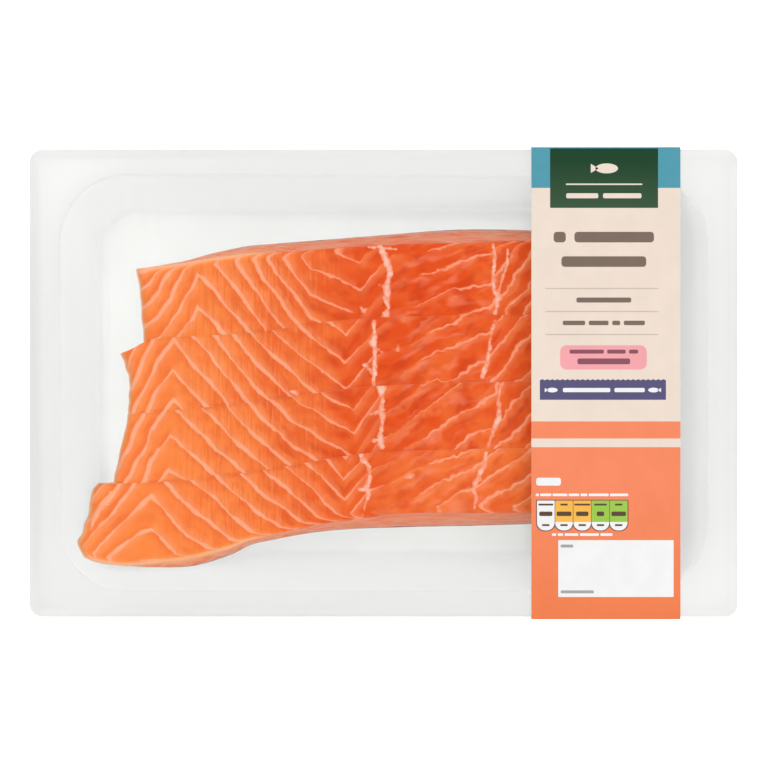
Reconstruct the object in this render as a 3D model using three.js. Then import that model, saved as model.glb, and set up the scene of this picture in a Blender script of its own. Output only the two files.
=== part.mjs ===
// A retail pack of four salmon fillets: a shallow plastic tray, a clear lidding film sealed on its
// flange, a printed card sleeve round one end, and four fillets side by side, skin down.
// Millimetres, +Z up. X runs along the pack, Y across it. The origin is at the middle of the
// underside, which is the underside of the sleeve.
import * as THREE from "three";

// ---- driving dimensions -------------------------------------------------------------------------

const GAP = 0.3; // between pieces that rest on each other

const TRAY_HALF_LENGTH = 135;
const TRAY_HALF_WIDTH = 89.1;
const TRAY_CORNER_RADIUS = 5;
const TRAY_SHEET = 0.7; // wall thickness
const TRAY_DEPTH = 36.6; // floor to flange
const MOUTH_HALF_LENGTH = 123.2;
const MOUTH_HALF_WIDTH = 79;
const MOUTH_CORNER_RADIUS = 26;
const MOUTH_ROUNDING = 1.6; // where the flange turns down into the wall
const WALL_DRAFT = THREE.MathUtils.degToRad(17);
const FOOT_RADIUS = 6; // where the wall turns into the floor
const RIM_BAND = 3.4; // sloping band round the outside of the flange
const RIM_DROP = 1.5; // fall of that band
const RIM_INNER_RADIUS = 4; // of the band's inner line at the corners
const RIM_BEVEL = 0.6; // between the band and the skirt
const SKIRT_HEIGHT = 4; // flange to the lower edge of the turned-down skirt
const CORNER_STEPS = 8; // facets in each rounded corner

const FILM_THICKNESS = 0.3;
const FILM_INSET = RIM_BAND + 0.3; // from the edge of the tray

const CARD = 0.4; // thickness of the sleeve
const SLEEVE_START = 56.1; // left edge along X
const SLEEVE_WIDTH = 56.6;
const SLEEVE_BASE_HALF_WIDTH = 68.4; // where the sides meet the bottom panel
const SLEEVE_FOLD_RADIUS = 1.2;

// Plan of the slab of fish, as points [x, y]: its two long edges, measured at the skin, and the
// three cuts between the fillets, which lean up to the right.
const TOP_EDGE = [[-118, 43], [-96, 44.8], [-79, 47.2], [-54, 53], [6, 58.3], [31, 60.2], [57, 60], [95, 58]];
const CUT_1_2 = [[-118, 9], [-101, 12.2], [-90, 17], [-53, 19.4], [-10, 24.8], [56, 26.4], [95, 26]];
const CUT_2_3 = [[-118, -13], [-92, -11.5], [-55, -7.8], [-31, -4.5], [-1, -1], [95, 1.5]];
const CUT_3_4 = [[-118, -39.5], [-75, -37.6], [-40, -32.5], [-3, -26.7], [95, -24.5]];
const BOTTOM_EDGE = [[-118, -59.5], [-116, -62.8], [-113, -65.8], [-108, -68.6], [-98, -70.4], [-80, -70.6],
  [-71, -69.4], [-47, -64], [-24, -59.2], [6, -56.5], [57, -55.4], [95, -53]];

// How much wider the two outer fillets are at the skin than at the flesh, on their outer side.
const TOP_LEAN = [[-96, 0.3], [-79, 1.5], [-54, 4], [6, 5.5], [31, 6.8], [57, 5.6], [95, 5]];
const BOTTOM_LEAN = [[-100, 0.6], [-71, 3.6], [-47, 3], [-9, 5.2], [6, 6.8], [57, 5.8], [95, 5]];
const UPRIGHT = [[-118, 0], [95, 0]]; // the cuts between two fillets

// Thickness of the slab along X, belly at the left and loin at the right, as points [x, thickness].
const THICKNESS = [[-118, 11], [-95, 14], [-60, 18], [-20, 22], [20, 25], [55, 24.5], [80, 20], [95, 14]];
const CORNER_LIFT = 14; // how far the belly flap climbs the corner of the tray
const CORNER_LIFT_SPREAD = 27;
const CORNER_LIFT_AT = [-121, -71];
const CUT_HALF_GAP = 0.35; // from a cut's middle line to the face of a fillet
const TOP_ROUNDING = 2.6; // rounding along the upper edges of a fillet
const TOP_ROUNDING_DROP = 1.3;
const WALL_CLEARANCE = 0.75; // fish to the sloping wall, measured upright
const THINNEST_EDGE = 2; // of the flap where it lies on the wall

// The ends of each fillet along X, from its lower edge at 0 to its upper edge at 1, its height
// against its neighbours, and the lean of its lower and upper side.
const FILLETS = [
  {
    name: "fillet_1", lower: CUT_1_2, upper: TOP_EDGE, rise: 0, leans: [UPRIGHT, TOP_LEAN],
    left: [[0, -91.5], [0.5, -93.5], [1, -96]], right: [[0, 90], [1, 89]],
  },
  {
    name: "fillet_2", lower: CUT_2_3, upper: CUT_1_2, rise: 0.5, leans: [UPRIGHT, UPRIGHT],
    left: [[0, -99.5], [0.5, -99.3], [1, -101.5]], right: [[0, 92], [1, 91.5]],
  },
  {
    name: "fillet_3", lower: CUT_3_4, upper: CUT_2_3, rise: 0, leans: [UPRIGHT, UPRIGHT],
    left: [[0, -103.8], [0.5, -101.8], [1, -99.6]], right: [[0, 91], [1, 91.8]],
  },
  {
    name: "fillet_4", lower: BOTTOM_EDGE, upper: CUT_3_4, rise: 0.4, leans: [BOTTOM_LEAN, UPRIGHT],
    left: [[0, -112.5], [0.12, -115.6], [0.3, -116.9], [0.6, -114.6], [1, -111.2]],
    right: [[0, 87], [1, 89.5]],
  },
];
const STATIONS = 27; // cross-sections along a fillet
const STATION_CROWDING = 0.13; // how far they are drawn towards the rounded ends
const TIP_ROUNDING = 8; // length over which an end is rounded
const TIP_SHARE = 0.42; // height of the end face as a share of the full thickness

// ---- worked out from them -----------------------------------------------------------------------

const TRAY_UNDERSIDE = CARD + GAP;
const FLOOR = TRAY_UNDERSIDE + TRAY_SHEET;
const FLANGE = FLOOR + TRAY_DEPTH;
const FILM_UNDERSIDE = FLANGE + GAP;
const SLEEVE_TOP = FILM_UNDERSIDE + FILM_THICKNESS + GAP + CARD;
const SLEEVE_HALF_WIDTH = TRAY_HALF_WIDTH + GAP + CARD;
const WALL_TURN = Math.PI / 2 - WALL_DRAFT; // angle between the flat and the wall

// ---- helpers ------------------------------------------------------------------------------------

// A smooth curve through points [a, b], as a function of a.
function through(points) {
  const slope = points.map((p, i) => {
    const before = points[Math.max(i - 1, 0)];
    const after = points[Math.min(i + 1, points.length - 1)];
    return (after[1] - before[1]) / (after[0] - before[0]);
  });
  return (a) => {
    let i = points.findIndex((p) => p[0] > a) - 1;
    if (i === -2) i = points.length - 2;
    i = Math.max(i, 0);
    const [a0, b0] = points[i];
    const [a1, b1] = points[i + 1];
    const span = a1 - a0;
    const t = THREE.MathUtils.clamp((a - a0) / span, 0, 1);
    const t2 = t * t;
    const t3 = t2 * t;
    return b0 * (2 * t3 - 3 * t2 + 1) + b1 * (3 * t2 - 2 * t3)
      + span * (slope[i] * (t3 - 2 * t2 + t) + slope[i + 1] * (t3 - t2));
  };
}

// A closed body from rings with equally many points, an even number. Each end is closed by strips
// from one side of its ring to the other, which start at the ring's last two points.
function loft(rings) {
  const count = rings[0].length;
  const points = rings.flat();
  const faces = [];
  const quad = (a, b, c, d) => faces.push(a, b, c, a, c, d);
  for (let k = 0; k < rings.length - 1; k++) {
    for (let i = 0; i < count; i++) {
      const j = (i + 1) % count;
      quad(k * count + i, k * count + j, (k + 1) * count + j, (k + 1) * count + i);
    }
  }
  const last = (rings.length - 1) * count;
  const back = (step) => count - 2 - step;
  const forth = (step) => (count - 1 + step) % count;
  for (let step = 0; step < count / 2 - 1; step++) {
    quad(back(step), back(step + 1), forth(step + 1), forth(step));
    quad(last + back(step), last + forth(step), last + forth(step + 1), last + back(step + 1));
  }
  const geometry = new THREE.BufferGeometry().setFromPoints(points);
  geometry.setIndex(facingOut(points, faces));
  geometry.computeVertexNormals();
  return geometry;
}

// The faces turned round if they enclose a negative volume.
function facingOut(points, faces) {
  let volume = 0;
  for (let i = 0; i < faces.length; i += 3) {
    const [a, b, c] = [points[faces[i]], points[faces[i + 1]], points[faces[i + 2]]];
    volume += a.dot(new THREE.Vector3().crossVectors(b, c)) / 6;
  }
  return volume > 0 ? faces : faces.reverse();
}

// A rounded rectangle about the origin, at height z.
function roundedRing(halfLength, halfWidth, radius, z) {
  const ring = [];
  for (const [corner, [sx, sy]] of [[1, 1], [-1, 1], [-1, -1], [1, -1]].entries()) {
    for (let k = 0; k <= CORNER_STEPS; k++) {
      const angle = (corner + k / CORNER_STEPS) * (Math.PI / 2);
      const x = sx * (halfLength - radius) + radius * Math.cos(angle);
      const y = sy * (halfWidth - radius) + radius * Math.sin(angle);
      ring.push(new THREE.Vector3(x, y, z));
    }
  }
  return ring;
}

// A polygon with rounded corners as a three.js path.
function roundedPath(path, corners, radius) {
  corners.forEach((corner, i) => {
    const towards = (other) => corner.clone().addScaledVector(other.clone().sub(corner).normalize(), radius);
    const start = towards(corners.at(i - 1));
    const end = towards(corners[(i + 1) % corners.length]);
    if (i === 0) path.moveTo(start.x, start.y);
    else path.lineTo(start.x, start.y);
    path.quadraticCurveTo(corner.x, corner.y, end.x, end.y);
  });
  path.closePath();
  return path;
}

function piece(name, geometry, colour, roughness, opacity = 1) {
  const material = new THREE.MeshStandardMaterial({ color: colour, roughness, metalness: 0 });
  material.opacity = opacity;
  material.transparent = opacity < 1;
  const mesh = new THREE.Mesh(geometry, material);
  mesh.name = name;
  return mesh;
}

// ---- tray ---------------------------------------------------------------------------------------

// The inner surface from the mouth down to the floor, as points [inset from the mouth, height above
// the floor, slope]: the mouth's rounding, the sloping wall and the foot's radius.
function wallProfile() {
  const profile = [];
  const run = TRAY_DEPTH * Math.tan(WALL_DRAFT);
  const mouthSet = MOUTH_ROUNDING * Math.tan(WALL_TURN / 2);
  for (const share of [0, 0.5, 1]) {
    const angle = share * WALL_TURN;
    const inset = MOUTH_ROUNDING * Math.sin(angle) - mouthSet;
    profile.push([inset, TRAY_DEPTH - MOUTH_ROUNDING * (1 - Math.cos(angle)), angle]);
  }
  const footSet = FOOT_RADIUS * Math.tan(WALL_TURN / 2);
  for (const share of [1, 0.75, 0.5, 0.25, 0]) {
    const angle = share * WALL_TURN;
    const inset = run + footSet - FOOT_RADIUS * Math.sin(angle);
    profile.push([inset, FOOT_RADIUS * (1 - Math.cos(angle)), angle]);
  }
  return profile;
}

// The same surface's height above the floor at a place in plan.
function wallHeight(x, y) {
  const radius = MOUTH_CORNER_RADIUS;
  const across = Math.abs(x) - (MOUTH_HALF_LENGTH - radius);
  const along = Math.abs(y) - (MOUTH_HALF_WIDTH - radius);
  const outside = Math.hypot(Math.max(across, 0), Math.max(along, 0)) + Math.min(Math.max(across, along), 0);
  const inset = radius - outside;
  const profile = wallProfile();
  const below = profile.findIndex((p) => p[0] > inset);
  if (below === -1) return 0;
  const [i0, h0] = profile[Math.max(below - 1, 0)];
  const [i1, h1] = profile[below];
  return THREE.MathUtils.lerp(h0, h1, THREE.MathUtils.clamp((inset - i0) / (i1 - i0), 0, 1));
}

function tray() {
  const rim = (inset, radius, z) => roundedRing(TRAY_HALF_LENGTH - inset, TRAY_HALF_WIDTH - inset, radius, z);
  const mouth = (inset, z) =>
    roundedRing(MOUTH_HALF_LENGTH - inset, MOUTH_HALF_WIDTH - inset, MOUTH_CORNER_RADIUS - inset, z);
  const skirtEdge = FLANGE - SKIRT_HEIGHT;
  const shoulder = FLANGE - RIM_DROP;
  const upper = [
    rim(0, TRAY_CORNER_RADIUS, skirtEdge),
    rim(0, TRAY_CORNER_RADIUS, shoulder - RIM_BEVEL),
    rim(RIM_BEVEL, TRAY_CORNER_RADIUS - RIM_BEVEL, shoulder),
    rim(RIM_BAND, RIM_INNER_RADIUS, FLANGE),
    ...wallProfile().map(([inset, height]) => mouth(inset, FLOOR + height)),
  ];
  // The underside follows at the thickness of the sheet, square to each stretch.
  const underside = wallProfile().map(([inset, height, angle]) =>
    mouth(inset - TRAY_SHEET * Math.sin(angle), FLOOR + height - TRAY_SHEET * Math.cos(angle)));
  const lower = [
    rim(TRAY_SHEET, TRAY_CORNER_RADIUS - TRAY_SHEET, skirtEdge),
    rim(TRAY_SHEET, TRAY_CORNER_RADIUS - TRAY_SHEET, shoulder - RIM_BEVEL - TRAY_SHEET / 2),
    rim(TRAY_SHEET + RIM_BEVEL, TRAY_CORNER_RADIUS - TRAY_SHEET, shoulder - TRAY_SHEET),
    rim(RIM_BAND, RIM_INNER_RADIUS, FLANGE - TRAY_SHEET),
    ...underside,
  ];
  return piece("tray", loft([...upper.reverse(), ...lower]), 0xeeeeec, 0.35);
}

// ---- lidding film -------------------------------------------------------------------------------

function film() {
  const halfLength = TRAY_HALF_LENGTH - FILM_INSET;
  const halfWidth = TRAY_HALF_WIDTH - FILM_INSET;
  const heights = [FILM_UNDERSIDE, FILM_UNDERSIDE + FILM_THICKNESS];
  const rings = heights.map((z) => roundedRing(halfLength, halfWidth, RIM_INNER_RADIUS, z));
  return piece("film", loft(rings), 0xf6f8f8, 0.08, 0.25);
}

// ---- sleeve -------------------------------------------------------------------------------------

// A flat band of card over the film, down past the skirt on both sides, in along the walls and
// across under the tray.
function sleeve() {
  const skirtEdge = FLANGE - SKIRT_HEIGHT - GAP;
  const half = (inset) => [
    new THREE.Vector2(SLEEVE_BASE_HALF_WIDTH - inset, inset),
    new THREE.Vector2(SLEEVE_HALF_WIDTH - inset, skirtEdge),
    new THREE.Vector2(SLEEVE_HALF_WIDTH - inset, SLEEVE_TOP - inset),
  ];
  const loop = (inset) => {
    const right = half(inset);
    const left = right.map((p) => new THREE.Vector2(-p.x, p.y)).reverse();
    return [...right, ...left];
  };
  const shape = roundedPath(new THREE.Shape(), loop(0), SLEEVE_FOLD_RADIUS);
  shape.holes.push(roundedPath(new THREE.Path(), loop(CARD), SLEEVE_FOLD_RADIUS - CARD));
  const options = { depth: SLEEVE_WIDTH, bevelEnabled: false, curveSegments: 4 };
  const mesh = piece("sleeve", new THREE.ExtrudeGeometry(shape, options), 0xf0dece, 0.6);
  const [x, y, z] = [new THREE.Vector3(1, 0, 0), new THREE.Vector3(0, 1, 0), new THREE.Vector3(0, 0, 1)];
  mesh.quaternion.setFromRotationMatrix(new THREE.Matrix4().makeBasis(y, z, x));
  mesh.position.x = SLEEVE_START;
  return mesh;
}

// ---- fillets ------------------------------------------------------------------------------------

const thickness = through(THICKNESS);

// Height of the slab's upper surface above the tray floor.
function fleshHeight(x, y) {
  const away = Math.hypot(x - CORNER_LIFT_AT[0], y - CORNER_LIFT_AT[1]) / CORNER_LIFT_SPREAD;
  return thickness(x) + CORNER_LIFT * Math.exp(-away * away);
}

// Height of its skin, which lies on the floor and on the sloping wall.
function skinHeight(x, y) {
  const wall = wallHeight(x, y);
  return wall > 0 ? wall + WALL_CLEARANCE : GAP;
}

// One fillet. u runs along it, and v across it from its lower edge at 0 to its upper edge at 1.
function fillet({ name, lower, upper, rise, leans, left, right }) {
  const [lowerEdge, upperEdge, leftEnd, rightEnd] = [lower, upper, left, right].map(through);
  const [lowerLean, upperLean] = leans.map(through);
  const places = [0, 0.04, 0.1, 0.25, 0.5, 0.75, 0.9, 0.96, 1];

  // The full height is reached over a quarter circle from each end.
  const endShare = (u) => {
    const inside = Math.min(u, 1 - u) * (rightEnd(0.5) - leftEnd(0.5));
    const t = THREE.MathUtils.clamp(1 - inside / TIP_ROUNDING, 0, 1);
    return TIP_SHARE + (1 - TIP_SHARE) * Math.sqrt(1 - t * t);
  };

  const topPoint = (u, v) => {
    const x = THREE.MathUtils.lerp(leftEnd(v), rightEnd(v), u);
    const y0 = lowerEdge(x) + CUT_HALF_GAP + lowerLean(x);
    const y1 = upperEdge(x) - CUT_HALF_GAP - upperLean(x);
    const y = THREE.MathUtils.lerp(y0, y1, v);
    const inside = Math.min(v, 1 - v) * (y1 - y0);
    const t = THREE.MathUtils.clamp(1 - inside / TOP_ROUNDING, 0, 1);
    const drop = TOP_ROUNDING_DROP * (1 - Math.sqrt(1 - t * t));
    const bottom = skinHeight(x, y);
    const full = Math.max(fleshHeight(x, y) + rise - drop, bottom + THINNEST_EDGE);
    return new THREE.Vector3(x, y, FLOOR + THREE.MathUtils.lerp(bottom, full, endShare(u)));
  };

  const skinPoint = (u, v) => {
    const x = THREE.MathUtils.lerp(leftEnd(v), rightEnd(v), u);
    const y = THREE.MathUtils.lerp(lowerEdge(x) + CUT_HALF_GAP, upperEdge(x) - CUT_HALF_GAP, v);
    return new THREE.Vector3(x, y, FLOOR + skinHeight(x, y));
  };

  const section = (u) => {
    const top = places.map((v) => topPoint(u, v));
    const skin = places.map((v) => skinPoint(u, v)).reverse();
    const flank = (from, to, shares) => shares.map((s) => new THREE.Vector3().lerpVectors(from, to, s));
    const upperFlank = flank(top.at(-1), skin[0], [0.4, 0.85]);
    const lowerFlank = flank(skin.at(-1), top[0], [0.15, 0.6]);
    return [...top, ...upperFlank, ...skin, ...lowerFlank];
  };

  const stations = Array.from({ length: STATIONS }, (_, i) => i / (STATIONS - 1));
  const closerAtEnds = (t) => t - STATION_CROWDING * Math.sin(2 * Math.PI * t);
  return piece(name, loft(stations.map((t) => section(closerAtEnds(t)))), 0xf17a48, 0.35);
}

// ---- the pack -----------------------------------------------------------------------------------

const pack = new THREE.Group();
pack.add(tray(), ...FILLETS.map(fillet), film(), sleeve());

export default pack;
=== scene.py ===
"""A retail pack of four salmon fillets: a shallow tray of whitish plastic with a wide flange, a clear film
sealed on the flange, a printed card sleeve wrapped round one end, and four fillets side by side, skin down.

Lengths of sheet goods are in metres. The fish is worked out in millimetres and turned to metres at the end.
X runs along the pack, Y across it, and the origin is at the middle of the underside."""

import math

import bmesh
import bpy
import numpy as np
from bpy.props import FloatProperty, FloatVectorProperty, PointerProperty
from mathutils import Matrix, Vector


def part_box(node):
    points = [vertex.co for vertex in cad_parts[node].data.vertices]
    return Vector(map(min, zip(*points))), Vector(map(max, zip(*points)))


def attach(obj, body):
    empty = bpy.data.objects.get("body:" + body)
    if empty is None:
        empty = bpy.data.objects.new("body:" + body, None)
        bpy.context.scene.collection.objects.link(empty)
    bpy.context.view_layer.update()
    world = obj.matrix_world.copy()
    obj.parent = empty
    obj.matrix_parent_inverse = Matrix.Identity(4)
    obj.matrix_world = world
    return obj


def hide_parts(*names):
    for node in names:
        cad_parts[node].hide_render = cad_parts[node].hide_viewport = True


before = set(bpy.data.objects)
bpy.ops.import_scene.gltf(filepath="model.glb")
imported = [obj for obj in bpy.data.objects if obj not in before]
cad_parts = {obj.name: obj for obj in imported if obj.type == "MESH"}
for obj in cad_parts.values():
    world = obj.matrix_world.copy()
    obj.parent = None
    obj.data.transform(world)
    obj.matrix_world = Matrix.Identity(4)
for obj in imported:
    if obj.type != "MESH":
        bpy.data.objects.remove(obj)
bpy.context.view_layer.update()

bl_info = {
    "name": "Pack of Salmon Fillets",
    "version": (1, 0, 0),
    "blender": (4, 5, 0),
    "location": "View3D > Sidebar > Fish Pack",
    "description": "Builds a tray of salmon fillets with its sealed film and its printed card sleeve",
    "category": "Add Mesh",
}

MM = 0.001

# ---- places taken from the frame ----------------------------------------------------------------

TRAY_LOW, TRAY_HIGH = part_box("tray")
FILM_LOW, FILM_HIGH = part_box("film")
SLEEVE_LOW, SLEEVE_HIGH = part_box("sleeve")
FILLET_NAMES = ["fillet_1", "fillet_2", "fillet_3", "fillet_4"]


def linear(code):
    """An sRGB hex colour such as "#f4a080" as linear red, green, blue and alpha."""
    channels = [int(code[i:i + 2], 16) / 255 for i in (1, 3, 5)]
    return (*[c / 12.92 if c <= 0.04045 else ((c + 0.055) / 1.055) ** 2.4 for c in channels], 1.0)


def colour_property(name, description, code):
    return FloatVectorProperty(name=name, description=description, default=linear(code), size=4,
                               subtype="COLOR", min=0.0, max=1.0)


def length_property(name, description, default):
    return FloatProperty(name=name, description=description, default=default, min=0.0, unit="LENGTH",
                         precision=5)


# ---- sizes and colours that a user would change --------------------------------------------------


class TraySizes(bpy.types.PropertyGroup):
    sheet: length_property("Sheet", "Thickness of the plastic", 0.7 * MM)
    corner_radius: length_property("Corner Radius", "Radius of the flange's outer corners", 5 * MM)
    mouth_length: length_property("Mouth Length", "Half length of the opening at the flange", 123.2 * MM)
    mouth_width: length_property("Mouth Width", "Half width of the opening at the flange", 79 * MM)
    mouth_radius: length_property("Mouth Radius", "Corner radius of the opening", 26 * MM)
    foot_radius: length_property("Foot Radius", "Radius from the wall to the floor", 6 * MM)
    bead_height: length_property("Seal Height", "Rise of the ridge that the film is sealed on", 0.08 * MM)
    draft: FloatProperty(name="Draft", description="Slope of the walls from upright",
                         default=math.radians(17), min=0.0, max=1.0, subtype="ANGLE")
    # The flange's tone, painted greyer than the walls: painted shade that evens out the light the flange gets
    # from both sides.
    colour: colour_property("Colour", "Colour of the plastic at its full thickness", "#cfcfcd")


class FilmSizes(bpy.types.PropertyGroup):
    thickness: length_property("Thickness", "Thickness of the film", 0.12 * MM)
    cell: length_property("Cell", "Spacing of the points that carry the ripples", 1.5 * MM)
    ripple: length_property("Ripple", "Height of the ripples of the stretched film", 0.09 * MM)


class SleeveSizes(bpy.types.PropertyGroup):
    card: length_property("Card", "Thickness of the board", 0.4 * MM)
    fold_radius: length_property("Fold Radius", "Rounding of the folds", 1.0 * MM)
    base_width: length_property("Base Width", "Half width of the bottom panel", 68.4 * MM)
    lap: length_property("Lap", "Overlap of the two glued flaps of the bottom panel", 15 * MM)
    ink: length_property("Ink", "Height of the printed shapes above the board", 0.03 * MM)
    cream: colour_property("Cream", "Ground colour of the print", "#f0dfd0")
    teal: colour_property("Teal", "Colour of the band at the head", "#4f9bae")
    green: colour_property("Green", "Colour of the badge", "#043d1c")
    orange: colour_property("Orange", "Colour of the lower field", "#f98b61")
    pink: colour_property("Pink", "Colour of the rounded box", "#f7a8ad")
    navy: colour_property("Navy", "Colour of the bar", "#58547c")
    brown: colour_property("Brown", "Colour of the small print", "#7d6a5f")


class FilletSizes(bpy.types.PropertyGroup):
    spacing: length_property("Spacing", "Distance between the points of the flesh", 0.52 * MM)
    belly: colour_property("Belly", "Flesh at the thin end", "#ff8b44")
    loin: colour_property("Loin", "Flesh at the thick end", "#e65011")
    fat: colour_property("Fat", "Seams of fat", "#ffbb96")
    skin: colour_property("Skin", "Skin under the flesh", "#6f6a68")


class StageSizes(bpy.types.PropertyGroup):
    camera_height: length_property("Camera Height", "Height of the camera over the flange", 1.0)
    lens: FloatProperty(name="Lens", description="Focal length in millimetres", default=123.24, min=1.0)
    daylight: FloatProperty(name="Daylight", description="Strength of the even light from all round",
                            default=0.432, min=0.0)
    key: FloatProperty(name="Key", description="Power of the large lamp, in watts", default=3.25, min=0.0)


# ---- materials ----------------------------------------------------------------------------------

# Kinds and settings of nodes that come back in every material.
MATH, MIX, RANGE = "ShaderNodeMath", "ShaderNodeMix", "ShaderNodeMapRange"
PLUS, LESS, TIMES = ({"operation": name} for name in ("ADD", "SUBTRACT", "MULTIPLY"))
SOFT = {"interpolation_type": "SMOOTHSTEP"}
COLOURS = {"data_type": "RGBA", "out": 2}

WALL_TONE_ABOVE = 6.5 * MM  # heights between which the tray's wall, painted the lightest, takes on the floor's darker painted tone
FLOOR_TONE_BELOW = 2.2 * MM
FLAKE_DEPTH = 9  # mm over which the pattern along the flakes changes downwards


def add(tree, kind, inputs=None, out=0, **settings):
    """One node with its own settings, and its inputs as plain values or as sockets to link from.
    It gives the output that is asked for, or the node itself where that has none."""
    made = tree.nodes.new(kind)
    for name, value in settings.items():
        setattr(made, name, value)
    for key, value in (inputs or {}).items():
        if isinstance(value, bpy.types.NodeSocket):
            tree.links.new(value, made.inputs[key])
        else:
            made.inputs[key].default_value = value
    return made.outputs[out] if made.outputs else made


def new_material(name):
    """An empty material and its node tree."""
    material = bpy.data.materials.new(name)
    material.use_nodes = True
    material.node_tree.nodes.clear()
    return material, material.node_tree


def scaled_noise(tree, size_mm, detail=2.0, roughness=0.5):
    """Noise in Object coordinates whose lumps measure size_mm along X, Y and Z."""
    place = add(tree, "ShaderNodeTexCoord", out="Object")
    per_metre = Vector([1000 / size for size in size_mm])
    place = add(tree, "ShaderNodeVectorMath", {0: place, 1: per_metre}, operation="MULTIPLY")
    return add(tree, "ShaderNodeTexNoise",
               {"Vector": place, "Scale": 1.0, "Detail": detail, "Roughness": roughness}, out="Fac")


def tray_plastic(name, flange, wall, floor):
    """Polypropylene sheet, thermoformed: milky and translucent, so that light from behind comes through it,
    and half-gloss, with a soft chill pattern of about 3 mm. Its tones are painted light and shade, to even
    out the light that falls on it: the flange, which keeps the sheet's full thickness, is painted the
    greyest; the walls, which were drawn thin, are painted the lightest; the floor is painted in between, in
    random patches."""
    material, tree = new_material(name)
    patches = scaled_noise(tree, (22, 22, 9), 1.0)
    chill = scaled_noise(tree, (3, 3, 3), 2.0, 0.6)
    place = add(tree, "ShaderNodeTexCoord", out="Object")
    height = add(tree, "ShaderNodeSeparateXYZ", {0: place}, out="Z")
    on_floor = add(tree, RANGE, {0: height, 1: WALL_TONE_ABOVE, 2: FLOOR_TONE_BELOW}, **SOFT)
    drawn = add(tree, "ShaderNodeAttribute", out="Fac", attribute_name="drawn")
    floor_tone = add(tree, MIX, {0: patches, 6: linear(floor[0]), 7: linear(floor[1])}, **COLOURS)
    tone = add(tree, MIX, {0: on_floor, 6: linear(wall), 7: floor_tone}, **COLOURS)
    tone = add(tree, MIX, {0: drawn, 6: tuple(flange), 7: tone}, **COLOURS)
    bump = add(tree, "ShaderNodeBump", {"Height": chill, "Strength": 0.05, "Distance": 0.06 * MM})
    shader = add(tree, "ShaderNodeBsdfPrincipled", {
        "Base Color": tone, "Roughness": 0.31, "IOR": 1.49, "Subsurface Weight": 1.0,
        "Subsurface Radius": (1.0, 1.0, 1.0), "Subsurface Scale": 3 * MM, "Normal": bump})
    add(tree, "ShaderNodeOutputMaterial", {"Surface": shader})
    return material


def lidding_film():
    """Clear polyester film, stretched and heat-sealed: it adds only a faint glint that grows at a slant,
    and only where light meets its outer faces."""
    material, tree = new_material("clear_polyester_film")
    gloss = add(tree, "ShaderNodeBsdfGlossy", {"Color": linear("#ffffff"), "Roughness": 0.06})
    clear = add(tree, "ShaderNodeBsdfTransparent", {"Color": linear("#ffffff")})
    mirrored = add(tree, "ShaderNodeFresnel", {"IOR": 1.2})
    inside = add(tree, "ShaderNodeNewGeometry", out="Backfacing")
    outside = add(tree, MATH, {0: 1.0, 1: inside}, **LESS)
    glint = add(tree, MATH, {0: mirrored, 1: outside}, **TIMES)
    shader = add(tree, "ShaderNodeMixShader", {0: glint, 1: clear, 2: gloss})
    add(tree, "ShaderNodeOutputMaterial", {"Surface": shader})
    return material


def coated_board(name, colour, faded=None, fade=(0, 1)):
    """Clay-coated carton board under flat offset ink: satin, with a fine fibre grain of about 0.4 mm that is
    drawn a little coarser than it is, and a hardly visible mottle of the ink. The ink can fade to a second
    colour between two places along Y."""
    material, tree = new_material(name)
    ink = tuple(colour)
    if faded is not None:
        place = add(tree, "ShaderNodeTexCoord", out="Object")
        across = add(tree, "ShaderNodeSeparateXYZ", {0: place}, out="Y")
        share = add(tree, RANGE, {0: across, 1: fade[0], 2: fade[1]})
        ink = add(tree, MIX, {0: share, 6: tuple(colour), 7: tuple(faded)}, **COLOURS)
    fibre = scaled_noise(tree, (1.4, 0.5, 0.5), 3.0, 0.6)
    mottle = scaled_noise(tree, (7, 9, 9), 2.0)
    shade = add(tree, RANGE, {0: mottle, 1: 0.3, 2: 0.7, 3: 0.95, 4: 0.995})
    tone = add(tree, "ShaderNodeHueSaturation", {"Value": shade, "Color": ink})
    bump = add(tree, "ShaderNodeBump", {"Height": fibre, "Strength": 0.15, "Distance": 0.03 * MM})
    shader = add(tree, "ShaderNodeBsdfPrincipled", {
        "Base Color": tone, "Roughness": 0.45, "IOR": 1.48, "Specular IOR Level": 0.22, "Normal": bump})
    add(tree, "ShaderNodeOutputMaterial", {"Surface": shader})
    return material


def uncoated_board():
    """The bare inside and the cut edges of the board: greyish white pulp with longer, rougher fibres."""
    material, tree = new_material("uncoated_board")
    fibre = scaled_noise(tree, (2.2, 0.6, 0.6), 4.0, 0.7)
    tone = add(tree, MIX, {0: fibre, 6: linear("#d8d0c4"), 7: linear("#f0ece4")}, **COLOURS)
    bump = add(tree, "ShaderNodeBump", {"Height": fibre, "Strength": 0.3, "Distance": 0.05 * MM})
    shader = add(tree, "ShaderNodeBsdfPrincipled", {"Base Color": tone, "Roughness": 0.8, "Normal": bump})
    add(tree, "ShaderNodeOutputMaterial", {"Surface": shader})
    return material


FLESH_VALUES = ("seam", "apart", "lean", "width", "septum", "redness", "rim", "side", "cut", "skin",
                "fibrous", "hazy")


def flake_noise(tree, phase, length_mm, per_flake, detail=2.0, shift=0.0):
    """Noise whose lumps run along the flakes: length_mm long, and per_flake of them across a flake."""
    parts = add(tree, "ShaderNodeTexCoord", out="Object")
    along, up = (add(tree, "ShaderNodeSeparateXYZ", {0: parts}, out=axis) for axis in ("X", "Z"))
    place = add(tree, "ShaderNodeCombineXYZ", {
        "X": add(tree, MATH, {0: along, 1: 1000 / length_mm, 2: shift}, operation="MULTIPLY_ADD"),
        "Y": add(tree, MATH, {0: phase, 1: per_flake}, **TIMES),
        "Z": add(tree, MATH, {0: up, 1: 1000 / FLAKE_DEPTH}, **TIMES)})
    return add(tree, "ShaderNodeTexNoise",
               {"Vector": place, "Scale": 1.0, "Detail": detail, "Roughness": 0.55}, out="Fac")


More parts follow.
